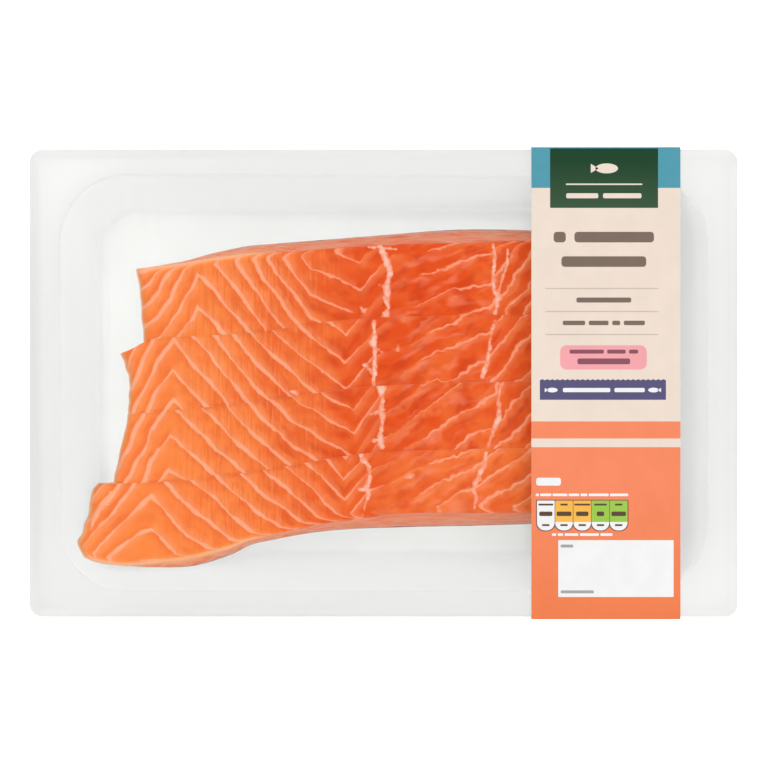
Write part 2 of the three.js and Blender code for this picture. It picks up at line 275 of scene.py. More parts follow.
def salmon_flesh(sizes):
    """Raw farmed salmon, cut with a knife: moist, lit from within, orange flakes with pale seams of fat
    between them, fine fibres across the pack, and thin grey skin underneath. The seams follow the
    attributes of the mesh: their phase, their distance apart and their half width in millimetres."""
    material, tree = new_material("raw_salmon")
    (seam_place, apart, lean, width, septum_place, redness, rim, side, cut, skin, fibrous, hazy) = (
        add(tree, "ShaderNodeAttribute", out="Fac", attribute_name=name) for name in FLESH_VALUES)

    # The flesh: from the pale belly to the redder loin, in soft blotches that follow the flakes.
    blotch = scaled_noise(tree, (9, 6, 6), 2.0, 0.55)
    uneven = add(tree, RANGE, {0: blotch, 1: 0.3, 2: 0.7, 3: -0.16, 4: 0.16}, **SOFT)
    red = add(tree, MATH, {0: redness, 1: uneven}, use_clamp=True, **PLUS)
    flesh = add(tree, MIX, {0: red, 6: tuple(sizes.belly), 7: tuple(sizes.loin)}, **COLOURS)
    deep = add(tree, RANGE, {0: flake_noise(tree, seam_place, 9, 1.6), 1: 0.5, 2: 0.66, 4: 0.6}, **SOFT)
    deep = add(tree, MATH, {0: deep, 1: redness}, **TIMES)

    # The seams are a little jagged, more so in the loin.
    fine = scaled_noise(tree, (2.2, 2.2, 2.2), 3.0, 0.6)
    jag = add(tree, MATH, {0: fine, 1: 0.5}, **LESS)
    jagged = add(tree, RANGE, {0: redness, 1: 0.2, 2: 0.8, 3: 0.08, 4: 0.18}, **SOFT)
    phase = add(tree, MATH, {0: jag, 1: jagged, 2: seam_place}, operation="MULTIPLY_ADD")
    ahead = add(tree, MATH, {0: phase, 1: 0.5}, **PLUS)
    ahead = add(tree, MATH, {0: ahead}, operation="FRACT")
    centred = add(tree, MATH, {0: ahead, 1: 0.5}, **LESS)
    offset = add(tree, MATH, {0: centred, 1: apart}, **TIMES)

    # A seam slants down under the flesh towards +X, so it shines through on that side, in a soft halo.
    steepness = add(tree, MATH, {0: lean}, operation="ABSOLUTE")
    slanting = add(tree, RANGE, {0: steepness, 1: 0.08, 2: 0.6}, **SOFT)
    facing = add(tree, MATH, {0: lean}, operation="SIGN")
    leaning = add(tree, MATH, {0: offset, 1: facing}, **TIMES)
    over = add(tree, RANGE, {0: leaning, 1: 3.8, 2: 0.3}, **SOFT)
    past = add(tree, RANGE, {0: leaning, 1: -0.3, 2: 0.1}, **SOFT)
    shown = add(tree, RANGE, {0: redness, 1: 0.0, 2: 0.9, 3: 0.62, 4: 0.34}, **SOFT)
    halo = add(tree, MATH, {0: over, 1: past}, **TIMES)
    halo = add(tree, MATH, {0: halo, 1: slanting}, **TIMES)
    halo = add(tree, MATH, {0: halo, 1: shown}, **TIMES)
    # On the other side, just before each seam, the flesh is painted darker: painted shade along the seam.
    before = add(tree, RANGE, {0: leaning, 1: -3.4, 2: -0.6, 4: 0.3}, **SOFT)
    behind = add(tree, RANGE, {0: leaning, 1: 0.1, 2: -0.2}, **SOFT)
    shade = add(tree, MATH, {0: before, 1: behind}, **TIMES)
    shade = add(tree, MATH, {0: shade, 1: slanting}, **TIMES)

    # Fibres: streaks about 0.8 mm wide that run across the pack, strongest in the middle of the belly.
    fibre = scaled_noise(tree, (0.85, 12, 5), 2.0, 0.6)
    streak = add(tree, RANGE, {0: fibre, 1: 0.47, 2: 0.64}, **SOFT)
    streak = add(tree, MATH, {0: streak, 1: fibrous}, **TIMES)
    dark_streak = add(tree, MATH, {0: streak, 1: 0.3}, **TIMES)
    pale_streak = add(tree, RANGE, {0: fibre, 1: 0.44, 2: 0.3, 4: 0.3}, **SOFT)
    pale_streak = add(tree, MATH, {0: pale_streak, 1: fibrous}, **TIMES)

    # Painted light: edges so thin that light comes through are painted yellower and lighter, and pale at the
    # very rim, as a painted glow.
    thin = add(tree, RANGE, {0: rim, 1: 3.4, 2: 0.4, 4: 0.6}, **SOFT)
    painted_rim_glow = add(tree, RANGE, {0: rim, 1: 1.8, 2: 0.3, 4: 0.65}, **SOFT)

    # Along the cuts between the fillets the flesh is painted deeper in colour, in patches: painted shade in
    # the groove.
    patchy_groove_shade = scaled_noise(tree, (8, 8, 8))
    patchy_groove_shade = add(tree, RANGE, {0: patchy_groove_shade, 1: 0.35, 2: 0.6, 3: 0.04, 4: 0.28}, **SOFT)
    painted_groove_shade = add(tree, RANGE, {0: cut, 1: 1.5, 2: 0.1}, **SOFT)
    painted_groove_shade = add(tree, MATH, {0: painted_groove_shade, 1: patchy_groove_shade}, **TIMES)

    # Pale wisps of fat in the loin, drawn out along the flakes.
    wisp = flake_noise(tree, phase, 12, 2.6, 1.2, 7.0)
    wisp = add(tree, RANGE, {0: wisp, 1: 0.52, 2: 0.74, 4: 0.42}, **SOFT)
    wisp = add(tree, MATH, {0: wisp, 1: hazy}, **TIMES)

    for share, colour in ((deep, "#cf3a0c"), (halo, "#ff9c66"), (shade, "#e85e22"), (dark_streak, "#e05a20"),
                          (pale_streak, "#ff9d68"), (thin, "#ff9a48"), (painted_rim_glow, "#ffc49c"),
                          (painted_groove_shade, "#dd4c16"), (wisp, "#fb9472")):
        flesh = add(tree, MIX, {0: share, 6: flesh, 7: linear(colour)}, **COLOURS)

    # Seams: the distance to the nearest one, against a half width that swells, shrinks and breaks off.
    away = add(tree, MATH, {0: offset}, operation="ABSOLUTE")
    swell = flake_noise(tree, phase, 8, 0.8, 2.0, 3.0)
    swell = add(tree, RANGE, {0: swell, 1: 0.34, 2: 0.66, 3: 0.3, 4: 1.45}, **SOFT)
    swell = add(tree, MATH, {0: jag, 1: 0.8, 2: swell}, operation="MULTIPLY_ADD")
    half_width = add(tree, MATH, {0: width, 1: swell}, **TIMES)
    outside = add(tree, MATH, {0: away, 1: half_width}, **LESS)
    seam = add(tree, RANGE, {0: outside, 1: 0.3, 2: -0.35}, **SOFT)
    lasting = add(tree, RANGE, {0: width, 1: 0.1, 2: 0.6, 3: -0.16, 4: 0.28}, **SOFT)
    lasting = add(tree, MATH, {0: lasting, 1: flake_noise(tree, phase, 13, 1.0, 1.0, 11.0)}, **PLUS)
    lasting = add(tree, RANGE, {0: lasting, 1: 0.42, 2: 0.56}, **SOFT)
    seam = add(tree, MATH, {0: seam, 1: lasting}, **TIMES)

    # The thick lines of fat that cross the seams, with small knots on them.
    knots = scaled_noise(tree, (2.6, 2.0, 3))
    knots = add(tree, RANGE, {0: knots, 1: 0.58, 2: 0.72, 4: 0.5}, **SOFT)
    outside = add(tree, MATH, {0: jag, 1: 2.2, 2: septum_place}, operation="MULTIPLY_ADD")
    outside = add(tree, MATH, {0: outside, 1: knots}, **LESS)
    septum = add(tree, RANGE, {0: outside, 1: 0.45, 2: -0.35}, **SOFT)
    core = add(tree, RANGE, {0: outside, 1: -0.5, 2: -1.0, 4: 0.5}, **SOFT)

    fat_blotch = scaled_noise(tree, (5, 5, 5))
    reddened = add(tree, MATH, {0: redness, 1: 0.55}, **TIMES)
    fat_tone = add(tree, MIX, {0: fat_blotch, 6: tuple(sizes.fat), 7: linear("#ffa37c")}, **COLOURS)
    fat_tone = add(tree, MIX, {0: reddened, 6: fat_tone, 7: linear("#ff9068")}, **COLOURS)
    septum_blotch = scaled_noise(tree, (2.5, 2.5, 2.5))
    septum_blotch = add(tree, RANGE, {0: septum_blotch, 1: 0.35, 2: 0.65}, **SOFT)
    septum_tone = add(tree, MIX, {0: septum_blotch, 6: linear("#fb9872"), 7: linear("#ffc4b0")}, **COLOURS)
    septum_tone = add(tree, MIX, {0: core, 6: septum_tone, 7: linear("#f9d8cc")}, **COLOURS)
    in_loin = add(tree, RANGE, {0: redness, 1: 0.1, 2: 0.4}, **SOFT)
    in_loin = add(tree, MATH, {0: septum, 1: in_loin}, **TIMES)
    seam_tone = add(tree, MIX, {0: in_loin, 6: fat_tone, 7: septum_tone}, **COLOURS)
    seam = add(tree, MATH, {0: seam, 1: 0.9}, **TIMES)
    septum = add(tree, MATH, {0: septum, 1: 0.95}, **TIMES)
    fat = add(tree, MATH, {0: seam, 1: septum}, operation="MAXIMUM")

    # The slanting cut by the skin: pinker, with streaks drawn out along the edge.
    drawn_out = scaled_noise(tree, (19, 1.2, 1.2), 3.0, 0.6)
    drawn_out = add(tree, RANGE, {0: drawn_out, 1: 0.36, 2: 0.64}, **SOFT)
    side_tone = add(tree, MIX, {0: drawn_out, 6: linear("#ff7440"), 7: linear("#ffa47e")}, **COLOURS)
    side_share = add(tree, MATH, {0: side, 1: 0.85}, **TIMES)
    flesh = add(tree, MIX, {0: side_share, 6: flesh, 7: side_tone}, **COLOURS)
    tone = add(tree, MIX, {0: fat, 6: flesh, 7: seam_tone}, **COLOURS)

    # Under the flesh a pale layer of fat, then the skin, silver grey with dark flecks.
    layer = add(tree, RANGE, {0: skin, 1: 3.4, 2: 1.0, 4: 0.2}, **SOFT)
    layer = add(tree, MATH, {0: layer, 1: side}, **TIMES)
    tone = add(tree, MIX, {0: layer, 6: tone, 7: linear("#ffc0a6")}, **COLOURS)
    flecks = scaled_noise(tree, (2.6, 1.6, 1.6), 2.0)
    flecks = add(tree, RANGE, {0: flecks, 1: 0.52, 2: 0.6}, **SOFT)
    skin_tone = add(tree, MIX, {0: flecks, 6: tuple(sizes.skin), 7: linear("#33302f")}, **COLOURS)
    ragged = scaled_noise(tree, (13, 13, 13), 2.0)
    ragged = add(tree, RANGE, {0: ragged, 1: 0.42, 2: 0.58, 3: 0.45, 4: -0.7}, **SOFT)
    jagged_skin = add(tree, MATH, {0: jag, 1: 0.9, 2: skin}, operation="MULTIPLY_ADD")
    ragged = add(tree, MATH, {0: jagged_skin, 1: ragged}, **PLUS)
    ragged = add(tree, RANGE, {0: ragged, 1: 1.0, 2: 0.6}, **SOFT)
    tone = add(tree, MIX, {0: ragged, 6: tone, 7: skin_tone}, **COLOURS)

    # Relief: moist surface, fibres and the small steps at the seams.
    grain = scaled_noise(tree, (1.1, 2.6, 1.4), 2.0, 0.6)
    sunk = add(tree, MATH, {0: streak, 1: -0.5}, **TIMES)
    height = add(tree, MATH, {0: grain, 1: 0.5, 2: sunk}, operation="MULTIPLY_ADD")
    height = add(tree, MATH, {0: fat, 1: 0.35, 2: height}, operation="MULTIPLY_ADD")
    bump = add(tree, "ShaderNodeBump", {"Height": height, "Strength": 0.55, "Distance": 0.22 * MM})
    wet = scaled_noise(tree, (7, 7, 7))
    wet = add(tree, RANGE, {0: wet, 1: 0.3, 2: 0.7, 3: 0.3, 4: 0.46}, **SOFT)
    shader = add(tree, "ShaderNodeBsdfPrincipled", {
        "Base Color": tone, "Roughness": wet, "IOR": 1.38, "Specular IOR Level": 0.12,
        "Subsurface Weight": 0.3, "Subsurface Radius": (1.0, 0.36, 0.2), "Subsurface Scale": 2.2 * MM,
        "Coat Weight": 0.06, "Coat Roughness": 0.16, "Coat IOR": 1.34, "Normal": bump})
    add(tree, "ShaderNodeOutputMaterial", {"Surface": shader})
    return material


def studio_floor():
    """Opal acrylic of a light table, matt on top and lit evenly from below."""
    material, tree = new_material("opal_acrylic")
    grain = scaled_noise(tree, (40, 40, 40), 2.0)
    tone = add(tree, MIX, {0: grain, 6: linear("#fbfbfa"), 7: linear("#ffffff")}, **COLOURS)
    shader = add(tree, "ShaderNodeBsdfPrincipled", {
        "Base Color": tone, "Roughness": 0.9, "Emission Color": linear("#ffffff"), "Emission Strength": 0.63})
    add(tree, "ShaderNodeOutputMaterial", {"Surface": shader})
    return material


# ---- modelling by hand --------------------------------------------------------------------------


def deselect_all():
    for thing in bpy.context.selected_objects:
        thing.select_set(False)


def start(name):
    """Names the primitive just added, and opens it in edit mode."""
    made = bpy.context.active_object
    made.name = made.data.name = name
    bpy.ops.object.mode_set(mode="EDIT")
    return made


def finish_edit(piece):
    """Back to object mode, with the object's place put into its mesh."""
    bpy.ops.object.mode_set(mode="OBJECT")
    bpy.ops.object.select_all(action="DESELECT")
    piece.select_set(True)
    bpy.context.view_layer.objects.active = piece
    bpy.ops.object.transform_apply(location=True, rotation=True, scale=True)
    return piece


def pick(piece, kind, test):
    """Selects, in edit mode, just the vertices that pass the test, the edges of which both ends pass it, or
    the faces whose centre and normal pass it."""
    bpy.ops.mesh.select_all(action="DESELECT")
    bpy.ops.mesh.select_mode(type=kind)
    mesh = bmesh.from_edit_mesh(piece.data)
    found = {"VERT": mesh.verts, "EDGE": mesh.edges, "FACE": mesh.faces}[kind]
    for item in found:
        if kind == "EDGE":
            chosen = all(test(v.co) for v in item.verts)
        elif kind == "FACE":
            chosen = test(item.calc_center_median(), item.normal)
        else:
            chosen = test(item.co)
        item.select_set(bool(chosen))
    mesh.select_flush_mode()
    bmesh.update_edit_mesh(piece.data)


def apply_modifier(piece, kind, **settings):
    """Adds a modifier to the piece and applies it at once."""
    modifier = piece.modifiers.new(kind.lower(), kind)
    for name, value in settings.items():
        setattr(modifier, name, value)
    bpy.context.view_layer.objects.active = piece
    bpy.ops.object.modifier_apply(modifier=modifier.name)


def join(pieces, name):
    """Several objects as one mesh."""
    deselect_all()
    for piece in pieces:
        piece.select_set(True)
    bpy.context.view_layer.objects.active = pieces[0]
    bpy.ops.object.join()
    pieces[0].name = pieces[0].data.name = name
    return pieces[0]


def rounded_plate(name, low, high, z, radius, segments=20):
    """A flat plate between two corners in plan, with its four corners rounded, left in edit mode."""
    deselect_all()
    centre = ((low[0] + high[0]) / 2, (low[1] + high[1]) / 2, z)
    bpy.ops.mesh.primitive_plane_add(size=1, location=centre)
    plate = start(name)
    bpy.ops.transform.resize(value=(high[0] - low[0], high[1] - low[1], 1))
    if radius > 0:
        bpy.ops.mesh.bevel(offset=radius, offset_type="OFFSET", segments=segments, affect="VERTICES")
    return plate


def step_in(thickness, depth):
    """Insets the selected face and moves it along its normal."""
    bpy.ops.mesh.inset(thickness=thickness, depth=depth)


def from_outline(x, y, half_length, half_width, radius):
    """Signed distance in plan from a rounded rectangle about the origin, positive outside."""
    across = np.abs(x) - (half_length - radius)
    along = np.abs(y) - (half_width - radius)
    outside = np.hypot(np.maximum(across, 0), np.maximum(along, 0))
    return outside + np.minimum(np.maximum(across, along), 0) - radius


def smooth_step(value, low, high):
    """0 up to low, 1 from high on, and a smooth rise in between."""
    t = np.clip((value - low) / (high - low), 0, 1)
    return t * t * (3 - 2 * t)


def write_attribute(mesh, name, values):
    """One number for each point of the mesh, for its material to read."""
    mesh.attributes.new(name, "FLOAT", "POINT").data.foreach_set("value", values.astype(np.float32).ravel())


def belongs(piece, slot, *nodes):
    """The piece moves with the pack and stands for the nodes. The slot is not used."""
    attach(piece, "root")
    if nodes:
        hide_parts(*nodes)


# ---- tray ---------------------------------------------------------------------------------------

RIM_BAND = 3.4 * MM  # sloping band round the outside of the flange
RIM_DROP = 1.5 * MM  # fall of that band
RIM_BEVEL = 0.6 * MM  # between the band and the skirt
RIM_INNER_RADIUS = 4 * MM
SKIRT = 1.9 * MM  # upright part of the turned-down edge
MOUTH_ROUNDING = 1.6 * MM
SEAL_OUTSIDE = 5.6 * MM  # outer edge of the sealing ridge, from the line of the mouth
SEAL_WIDTH = 3.8 * MM
SEAL_FLANK = 0.6 * MM  # width of the ridge's sloping sides
MOUTH_STEPS, FOOT_STEPS = 6, 10  # facets of the mouth's rounding and of the foot's radius
EDGE_BEVEL = 0.12 * MM
UNDRAWN, DRAWN = -0.4 * MM, 0.46 * MM  # inset from the mouth over which the sheet gets thinner
BAND_PAINTED_LIGHT_SHARE = 0.22  # how far the sloping band takes on the walls' tone: painted light, which makes the band lighter
# Painted tones of the plastic: its wall, painted the lightest, and the two darker ones that its floor is
# patched with.
INSIDE_PAINTED_TONES = ("#fcfcfb", ("#d3d3d1", "#dbdbd9"))
# The outside's tones are a darker copy of these, for the shell that faces the bright table: painted shade.
OUTSIDE_FLANGE_PAINTED_SHADE = "#bdbdbb"
OUTSIDE_PAINTED_SHADE_TONES = ("#c6c6c4", ("#c0c0be", "#cacac8"))
CORNER_SEGMENTS = 20
LOOP_TOLERANCE = 0.02 * MM


def wall_steps(sizes, depth):
    """The way from the flange down to the floor, as points (inset from the mouth, depth below the flange):
    the rounding of the mouth, the sloping wall and the foot's radius."""
    turn = math.pi / 2 - sizes.draft
    mouth_set = MOUTH_ROUNDING * math.tan(turn / 2)
    foot_set = sizes.foot_radius * math.tan(turn / 2)
    points = []
    for k in range(MOUTH_STEPS + 1):
        angle = turn * k / MOUTH_STEPS
        points.append((MOUTH_ROUNDING * math.sin(angle) - mouth_set, MOUTH_ROUNDING * (1 - math.cos(angle))))
    run = depth * math.tan(sizes.draft) + foot_set
    for k in range(FOOT_STEPS + 1):
        angle = turn * (1 - k / FOOT_STEPS)
        points.append((run - sizes.foot_radius * math.sin(angle),
                       depth - sizes.foot_radius * (1 - math.cos(angle))))
    return points


def on_loops(loops):
    """A test for places on any of the loops, each (half length, half width, radius, height)."""
    def test(place):
        return any(abs(place.z - z) < LOOP_TOLERANCE
                   and abs(from_outline(place.x, place.y, length, width, radius)) < LOOP_TOLERANCE
                   for length, width, radius, z in loops)
    return test


def bridge(piece, loops):
    """Closes the strip between two loops."""
    pick(piece, "EDGE", on_loops(loops))
    bpy.ops.mesh.bridge_edge_loops()


class PACK_OT_tray(bpy.types.Operator):
    """Adds the thermoformed tray, from its turned-down edge to its floor"""

    bl_idname = "fish_pack.tray"
    bl_label = "Tray"

    def execute(self, context):
        sizes = context.scene.fish_tray
        half = (TRAY_HIGH - TRAY_LOW) / 2
        flange = TRAY_HIGH.z
        depth = flange - TRAY_LOW.z - sizes.sheet

        # The rounded shoulder: a plate of the outer outline, stepped in twice and opened in the middle.
        shoulder = flange - RIM_DROP - RIM_BEVEL
        rim = rounded_plate("rim", (-half.x, -half.y), (half.x, half.y), shoulder, sizes.corner_radius,
                            CORNER_SEGMENTS)
        step_in(RIM_BEVEL * 0.3, RIM_BEVEL * 0.7)
        step_in(RIM_BEVEL * 0.7, RIM_BEVEL * 0.3)
        bpy.ops.mesh.delete(type="ONLY_FACE")
        finish_edit(rim)

        # The inner line of the sloping band, as a bare loop.
        band_half = (half.x - RIM_BAND, half.y - RIM_BAND)
        band = rounded_plate("band", (-band_half[0], -band_half[1]), band_half, flange, RIM_INNER_RADIUS,
                             CORNER_SEGMENTS)
        bpy.ops.mesh.delete(type="ONLY_FACE")
        finish_edit(band)

        # The basin, from the outside of the sealing ridge inwards and down.
        outer = (sizes.mouth_length + SEAL_OUTSIDE, sizes.mouth_width + SEAL_OUTSIDE)
        outer_radius = sizes.mouth_radius + SEAL_OUTSIDE
        basin = rounded_plate("basin", (-outer[0], -outer[1]), outer, flange, outer_radius, CORNER_SEGMENTS)
        step_in(SEAL_FLANK, sizes.bead_height)
        step_in(SEAL_WIDTH - 2 * SEAL_FLANK, 0)
        step_in(SEAL_FLANK, -sizes.bead_height)
        inset, down = SEAL_WIDTH - SEAL_OUTSIDE, 0.0
        for next_inset, next_down in wall_steps(sizes, depth):
            step_in(next_inset - inset, down - next_down)
            inset, down = next_inset, next_down
        finish_edit(basin)

        tray = join([rim, band, basin], "tray_moulding")
        bpy.ops.object.mode_set(mode="EDIT")
        bevel_loop = (half.x - RIM_BEVEL, half.y - RIM_BEVEL, sizes.corner_radius - RIM_BEVEL,
                      flange - RIM_DROP)
        band_loop = (*band_half, RIM_INNER_RADIUS, flange)
        basin_loop = (*outer, outer_radius, flange)
        bridge(tray, [bevel_loop, band_loop])
        bridge(tray, [band_loop, basin_loop])
        pick(tray, "EDGE", on_loops([(half.x, half.y, sizes.corner_radius, shoulder)]))
        bpy.ops.mesh.extrude_region_move(TRANSFORM_OT_translate={"value": (0, 0, -SKIRT)})
        bpy.ops.mesh.select_all(action="SELECT")
        bpy.ops.mesh.remove_doubles(threshold=0.001 * MM)
        bpy.ops.mesh.normals_make_consistent(inside=False)
        finish_edit(tray)
        inside = tray_plastic("thermoformed_polypropylene", sizes.colour, *INSIDE_PAINTED_TONES)
        # The outside shell, which the Solidify adds with material_offset, takes the darker copy: painted
        # shade.
        outside = tray_plastic("thermoformed_polypropylene_outside_painted_shade", linear(OUTSIDE_FLANGE_PAINTED_SHADE), *OUTSIDE_PAINTED_SHADE_TONES)
        tray.data.materials.append(inside)
        tray.data.materials.append(outside)
        if max(tray.data.polygons, key=lambda face: face.area).normal.z < 0:
            tray.data.flip_normals()
        apply_modifier(tray, "SOLIDIFY", thickness=sizes.sheet, offset=-1, use_even_offset=True,
                       material_offset=1)
        apply_modifier(tray, "BEVEL", width=EDGE_BEVEL, segments=2, limit_method="ANGLE",
                       angle_limit=math.radians(60))
        bpy.ops.object.shade_smooth_by_angle(angle=math.radians(40))
        # How far the sheet was drawn thin: not at all on the flange, fully on the walls and the floor. The
        # material paints by it: the flange greyer and the walls lighter, as painted shade and painted light.
        x, y, _ = np.array([tuple(vertex.co) for vertex in tray.data.vertices]).T
        inset = -from_outline(x, y, sizes.mouth_length, sizes.mouth_width, sizes.mouth_radius)
        past_band = from_outline(x, y, *band_half, RIM_INNER_RADIUS)
        drawn = smooth_step(inset, UNDRAWN, DRAWN) + BAND_PAINTED_LIGHT_SHARE * smooth_step(past_band, 0, 1 * MM)
        write_attribute(tray.data, "drawn", drawn)
        belongs(tray, "tray_plastic", "tray")
        return {"FINISHED"}


# ---- film ---------------------------------------------------------------------------------------

RIPPLE_MARGIN = 9 * MM  # the ripples grow from nothing over this distance inside the mouth
CORNER_RIPPLE = 11 * MM  # length of the short creases that fan out from the corners
CREASES = 26  # how many of them there would be in a full turn
LONG_WAVE, CROSS_WAVE, SLANT_WAVE = 31 * MM, 47 * MM, 23 * MM
REST_GAP = 0.01 * MM  # between the sealing ridge and the film
SAG = 2.0  # how far the slack film hangs below the flange, in ripples


def slack(x, y, tray):
    """Long slack waves, and short creases that fan out from the rounded corners of the mouth, in ripples."""
    inside = -from_outline(x, y, tray.mouth_length, tray.mouth_width, tray.mouth_radius)
    grown = smooth_step(inside, 0, RIPPLE_MARGIN)
    wave = math.sin(x / LONG_WAVE + 1.3 * math.sin(y / CROSS_WAVE))
    wave += 0.6 * math.sin((y - 0.4 * x) / SLANT_WAVE)
    corner = Vector((abs(x) - tray.mouth_length + tray.mouth_radius,
                     abs(y) - tray.mouth_width + tray.mouth_radius))
    fan = 0.0
    if corner.x > -CORNER_RIPPLE and corner.y > -CORNER_RIPPLE:
        fan = math.exp(-((corner.length - tray.mouth_radius + CORNER_RIPPLE) / CORNER_RIPPLE) ** 2)
    crease = fan * math.sin(CREASES * math.atan2(corner.y + CORNER_RIPPLE, corner.x + CORNER_RIPPLE))
    return grown * (wave + 1.2 * crease - SAG)


class PACK_OT_film(bpy.types.Operator):
    """Adds the clear film that is sealed on the flange"""

    bl_idname = "fish_pack.film"
    bl_label = "Film"

    def execute(self, context):
        sizes = context.scene.fish_film
        tray = context.scene.fish_tray
        half = (FILM_HIGH - FILM_LOW) / 2
        resting = TRAY_HIGH.z + tray.bead_height + REST_GAP
        deselect_all()
        bpy.ops.mesh.primitive_grid_add(size=1, x_subdivisions=int(2 * half.x / sizes.cell),
                                        y_subdivisions=int(2 * half.y / sizes.cell),
                                        location=(0, 0, resting + sizes.thickness))
        film = start("lidding_film")
        bpy.ops.transform.resize(value=(2 * half.x, 2 * half.y, 1))
        finish_edit(film)
        radius = RIM_INNER_RADIUS
        centre = Vector((half.x - radius, half.y - radius))
        for vertex in film.data.vertices:
            x, y = vertex.co.x, vertex.co.y
            # A corner's points are drawn in to its arc.
            past = Vector((abs(x), abs(y))) - centre
            if past.x > 0 and past.y > 0 and past.length > radius:
                past *= radius / past.length
                vertex.co.x = math.copysign(centre.x + past.x, x)
                vertex.co.y = math.copysign(centre.y + past.y, y)
            vertex.co.z += sizes.ripple * slack(x, y, tray)
        apply_modifier(film, "SOLIDIFY", thickness=sizes.thickness, offset=-1)
        bpy.ops.object.shade_smooth_by_angle(angle=math.radians(50))
        film.data.materials.append(lidding_film())
        film.visible_shadow = film.visible_diffuse = False  # it is too clear to take light away
        belongs(film, "lidding_film", "film")
        return {"FINISHED"}


# ---- sleeve -------------------------------------------------------------------------------------

# Edges of the printed fields across the top panel, from the middle of the pack.
TEAL_EDGE = 74.2 * MM
ORANGE_STRIPE = (-21.0 * MM, -14.5 * MM)
ORANGE_FIELD = -24.3 * MM
SIDE_FOLD = 33.7 * MM  # height of the fold where the sides turn in under the flange
LAP_STEP = 0.3 * MM  # length over which the glued flap rises on to the other one
LAP_RISE = 0.25 * MM
LAP_END = 3 * MM  # the flap comes down again this far before the fold
# The orange field grows darker towards its lower edge, between -40 mm and -92 mm along Y.
ORANGE_DARKER = "#f27e49"
ORANGE_DARKENING = (-40 * MM, -92 * MM)
BASE_COLOUR_EDGE = 0.78  # share of the half width past which the bottom panel is coloured


def field_of(place, normal):
    """Which printed field a face of the sleeve lies in: 0 cream, 1 teal, 2 orange."""
    under = normal.z < -0.2
    if place.y > TEAL_EDGE and not under:
        return 1
    if place.y < ORANGE_FIELD and not under:
        return 2
    if ORANGE_STRIPE[0] < place.y < ORANGE_STRIPE[1] and normal.z > 0.5:
        return 2
    if under and abs(place.y) > SLEEVE_HIGH.y * BASE_COLOUR_EDGE:
        return 1 if place.y > 0 else 2
    return 0


class PACK_OT_sleeve(bpy.types.Operator):
    """Adds the band of printed card round the pack, folded at the flange and glued underneath"""

    bl_idname = "fish_pack.sleeve"
    bl_label = "Sleeve"

    def execute(self, context):
        sizes = context.scene.fish_sleeve
        middle = (SLEEVE_LOW + SLEEVE_HIGH) / 2
        extent = SLEEVE_HIGH - SLEEVE_LOW
        deselect_all()
        bpy.ops.mesh.primitive_cube_add(size=1, location=middle)
        sleeve = start("card_sleeve")
        bpy.ops.transform.resize(value=extent)
        finish_edit(sleeve)
        bpy.ops.object.mode_set(mode="EDIT")
        pick(sleeve, "FACE", lambda place, normal: abs(normal.x) > 0.9)
        bpy.ops.mesh.delete(type="FACE")
        bpy.ops.mesh.select_all(action="SELECT")
        bpy.ops.mesh.bisect(plane_co=(0, 0, SIDE_FOLD), plane_no=(0, 0, 1))
        pick(sleeve, "VERT", lambda place: place.z < 0.001 * MM)
        bpy.ops.transform.resize(value=(1, sizes.base_width / SLEEVE_HIGH.y, 1))
        pick(sleeve, "EDGE", lambda place: abs(abs(place.y) - SLEEVE_HIGH.y) < LOOP_TOLERANCE
             or place.z < LOOP_TOLERANCE)
        mesh = bmesh.from_edit_mesh(sleeve.data)
        for edge in mesh.edges:
            ends = edge.verts[0].co - edge.verts[1].co
            edge.select_set(edge.select and abs(ends.x) > extent.x / 2)
        bmesh.update_edit_mesh(sleeve.data)
        bpy.ops.mesh.bevel(offset=sizes.fold_radius, segments=5, affect="EDGES")
        for y in (TEAL_EDGE, *ORANGE_STRIPE, ORANGE_FIELD, sizes.lap, sizes.lap + LAP_STEP):
            bpy.ops.mesh.select_all(action="SELECT")
            bpy.ops.mesh.bisect(plane_co=(0, y, 0), plane_no=(0, 1, 0))
        # The glued flap: past the lap's line the bottom panel lies higher, on the inside.
        pick(sleeve, "VERT", lambda place: place.z < LOOP_TOLERANCE / 2
             and sizes.lap + LAP_STEP / 2 < place.y < sizes.base_width - LAP_END)
        bpy.ops.transform.translate(value=(0, 0, LAP_RISE))
        bpy.ops.mesh.select_all(action="SELECT")
        bpy.ops.mesh.normals_make_consistent(inside=False)
        finish_edit(sleeve)
        if max(sleeve.data.polygons, key=lambda p: p.center.z).normal.z < 0:
            sleeve.data.flip_normals()
        for board in (coated_board("offset_print_cream", sizes.cream),
                      coated_board("offset_print_teal", sizes.teal),
                      coated_board("offset_print_orange", sizes.orange, linear(ORANGE_DARKER), ORANGE_DARKENING),
                      uncoated_board()):
            sleeve.data.materials.append(board)
        for face in sleeve.data.polygons:
            face.material_index = field_of(face.center, face.normal)
        apply_modifier(sleeve, "SOLIDIFY", thickness=sizes.card, offset=-1, use_even_offset=True,
                       material_offset=3, material_offset_rim=3)
        bpy.ops.object.shade_smooth_by_angle(angle=math.radians(35))
        sleeve.visible_diffuse = False  # the even light from all round reaches the tray beside it
        belongs(sleeve, "printed_card", "sleeve")
        return {"FINISHED"}


# ---- printed shapes -----------------------------------------------------------------------------

# All places and sizes here are in mm from the middle of the pack. A level raises a shape above the ones
# that it lies on.
PRINT_CENTRE = 83.6  # the line along Y that the print is centred on
INKS = {"white": "#f5f5f5", "amber": "#fbbd4e", "leaf": "#9ccb4c", "plum": "#8d5361", "grey": "#a9a6a4",
        "outline": "#86584b", "umber": "#5c4634"}
BADGE_FADED = "#335238"
BADGE_FADE = (85 * MM, 68 * MM)

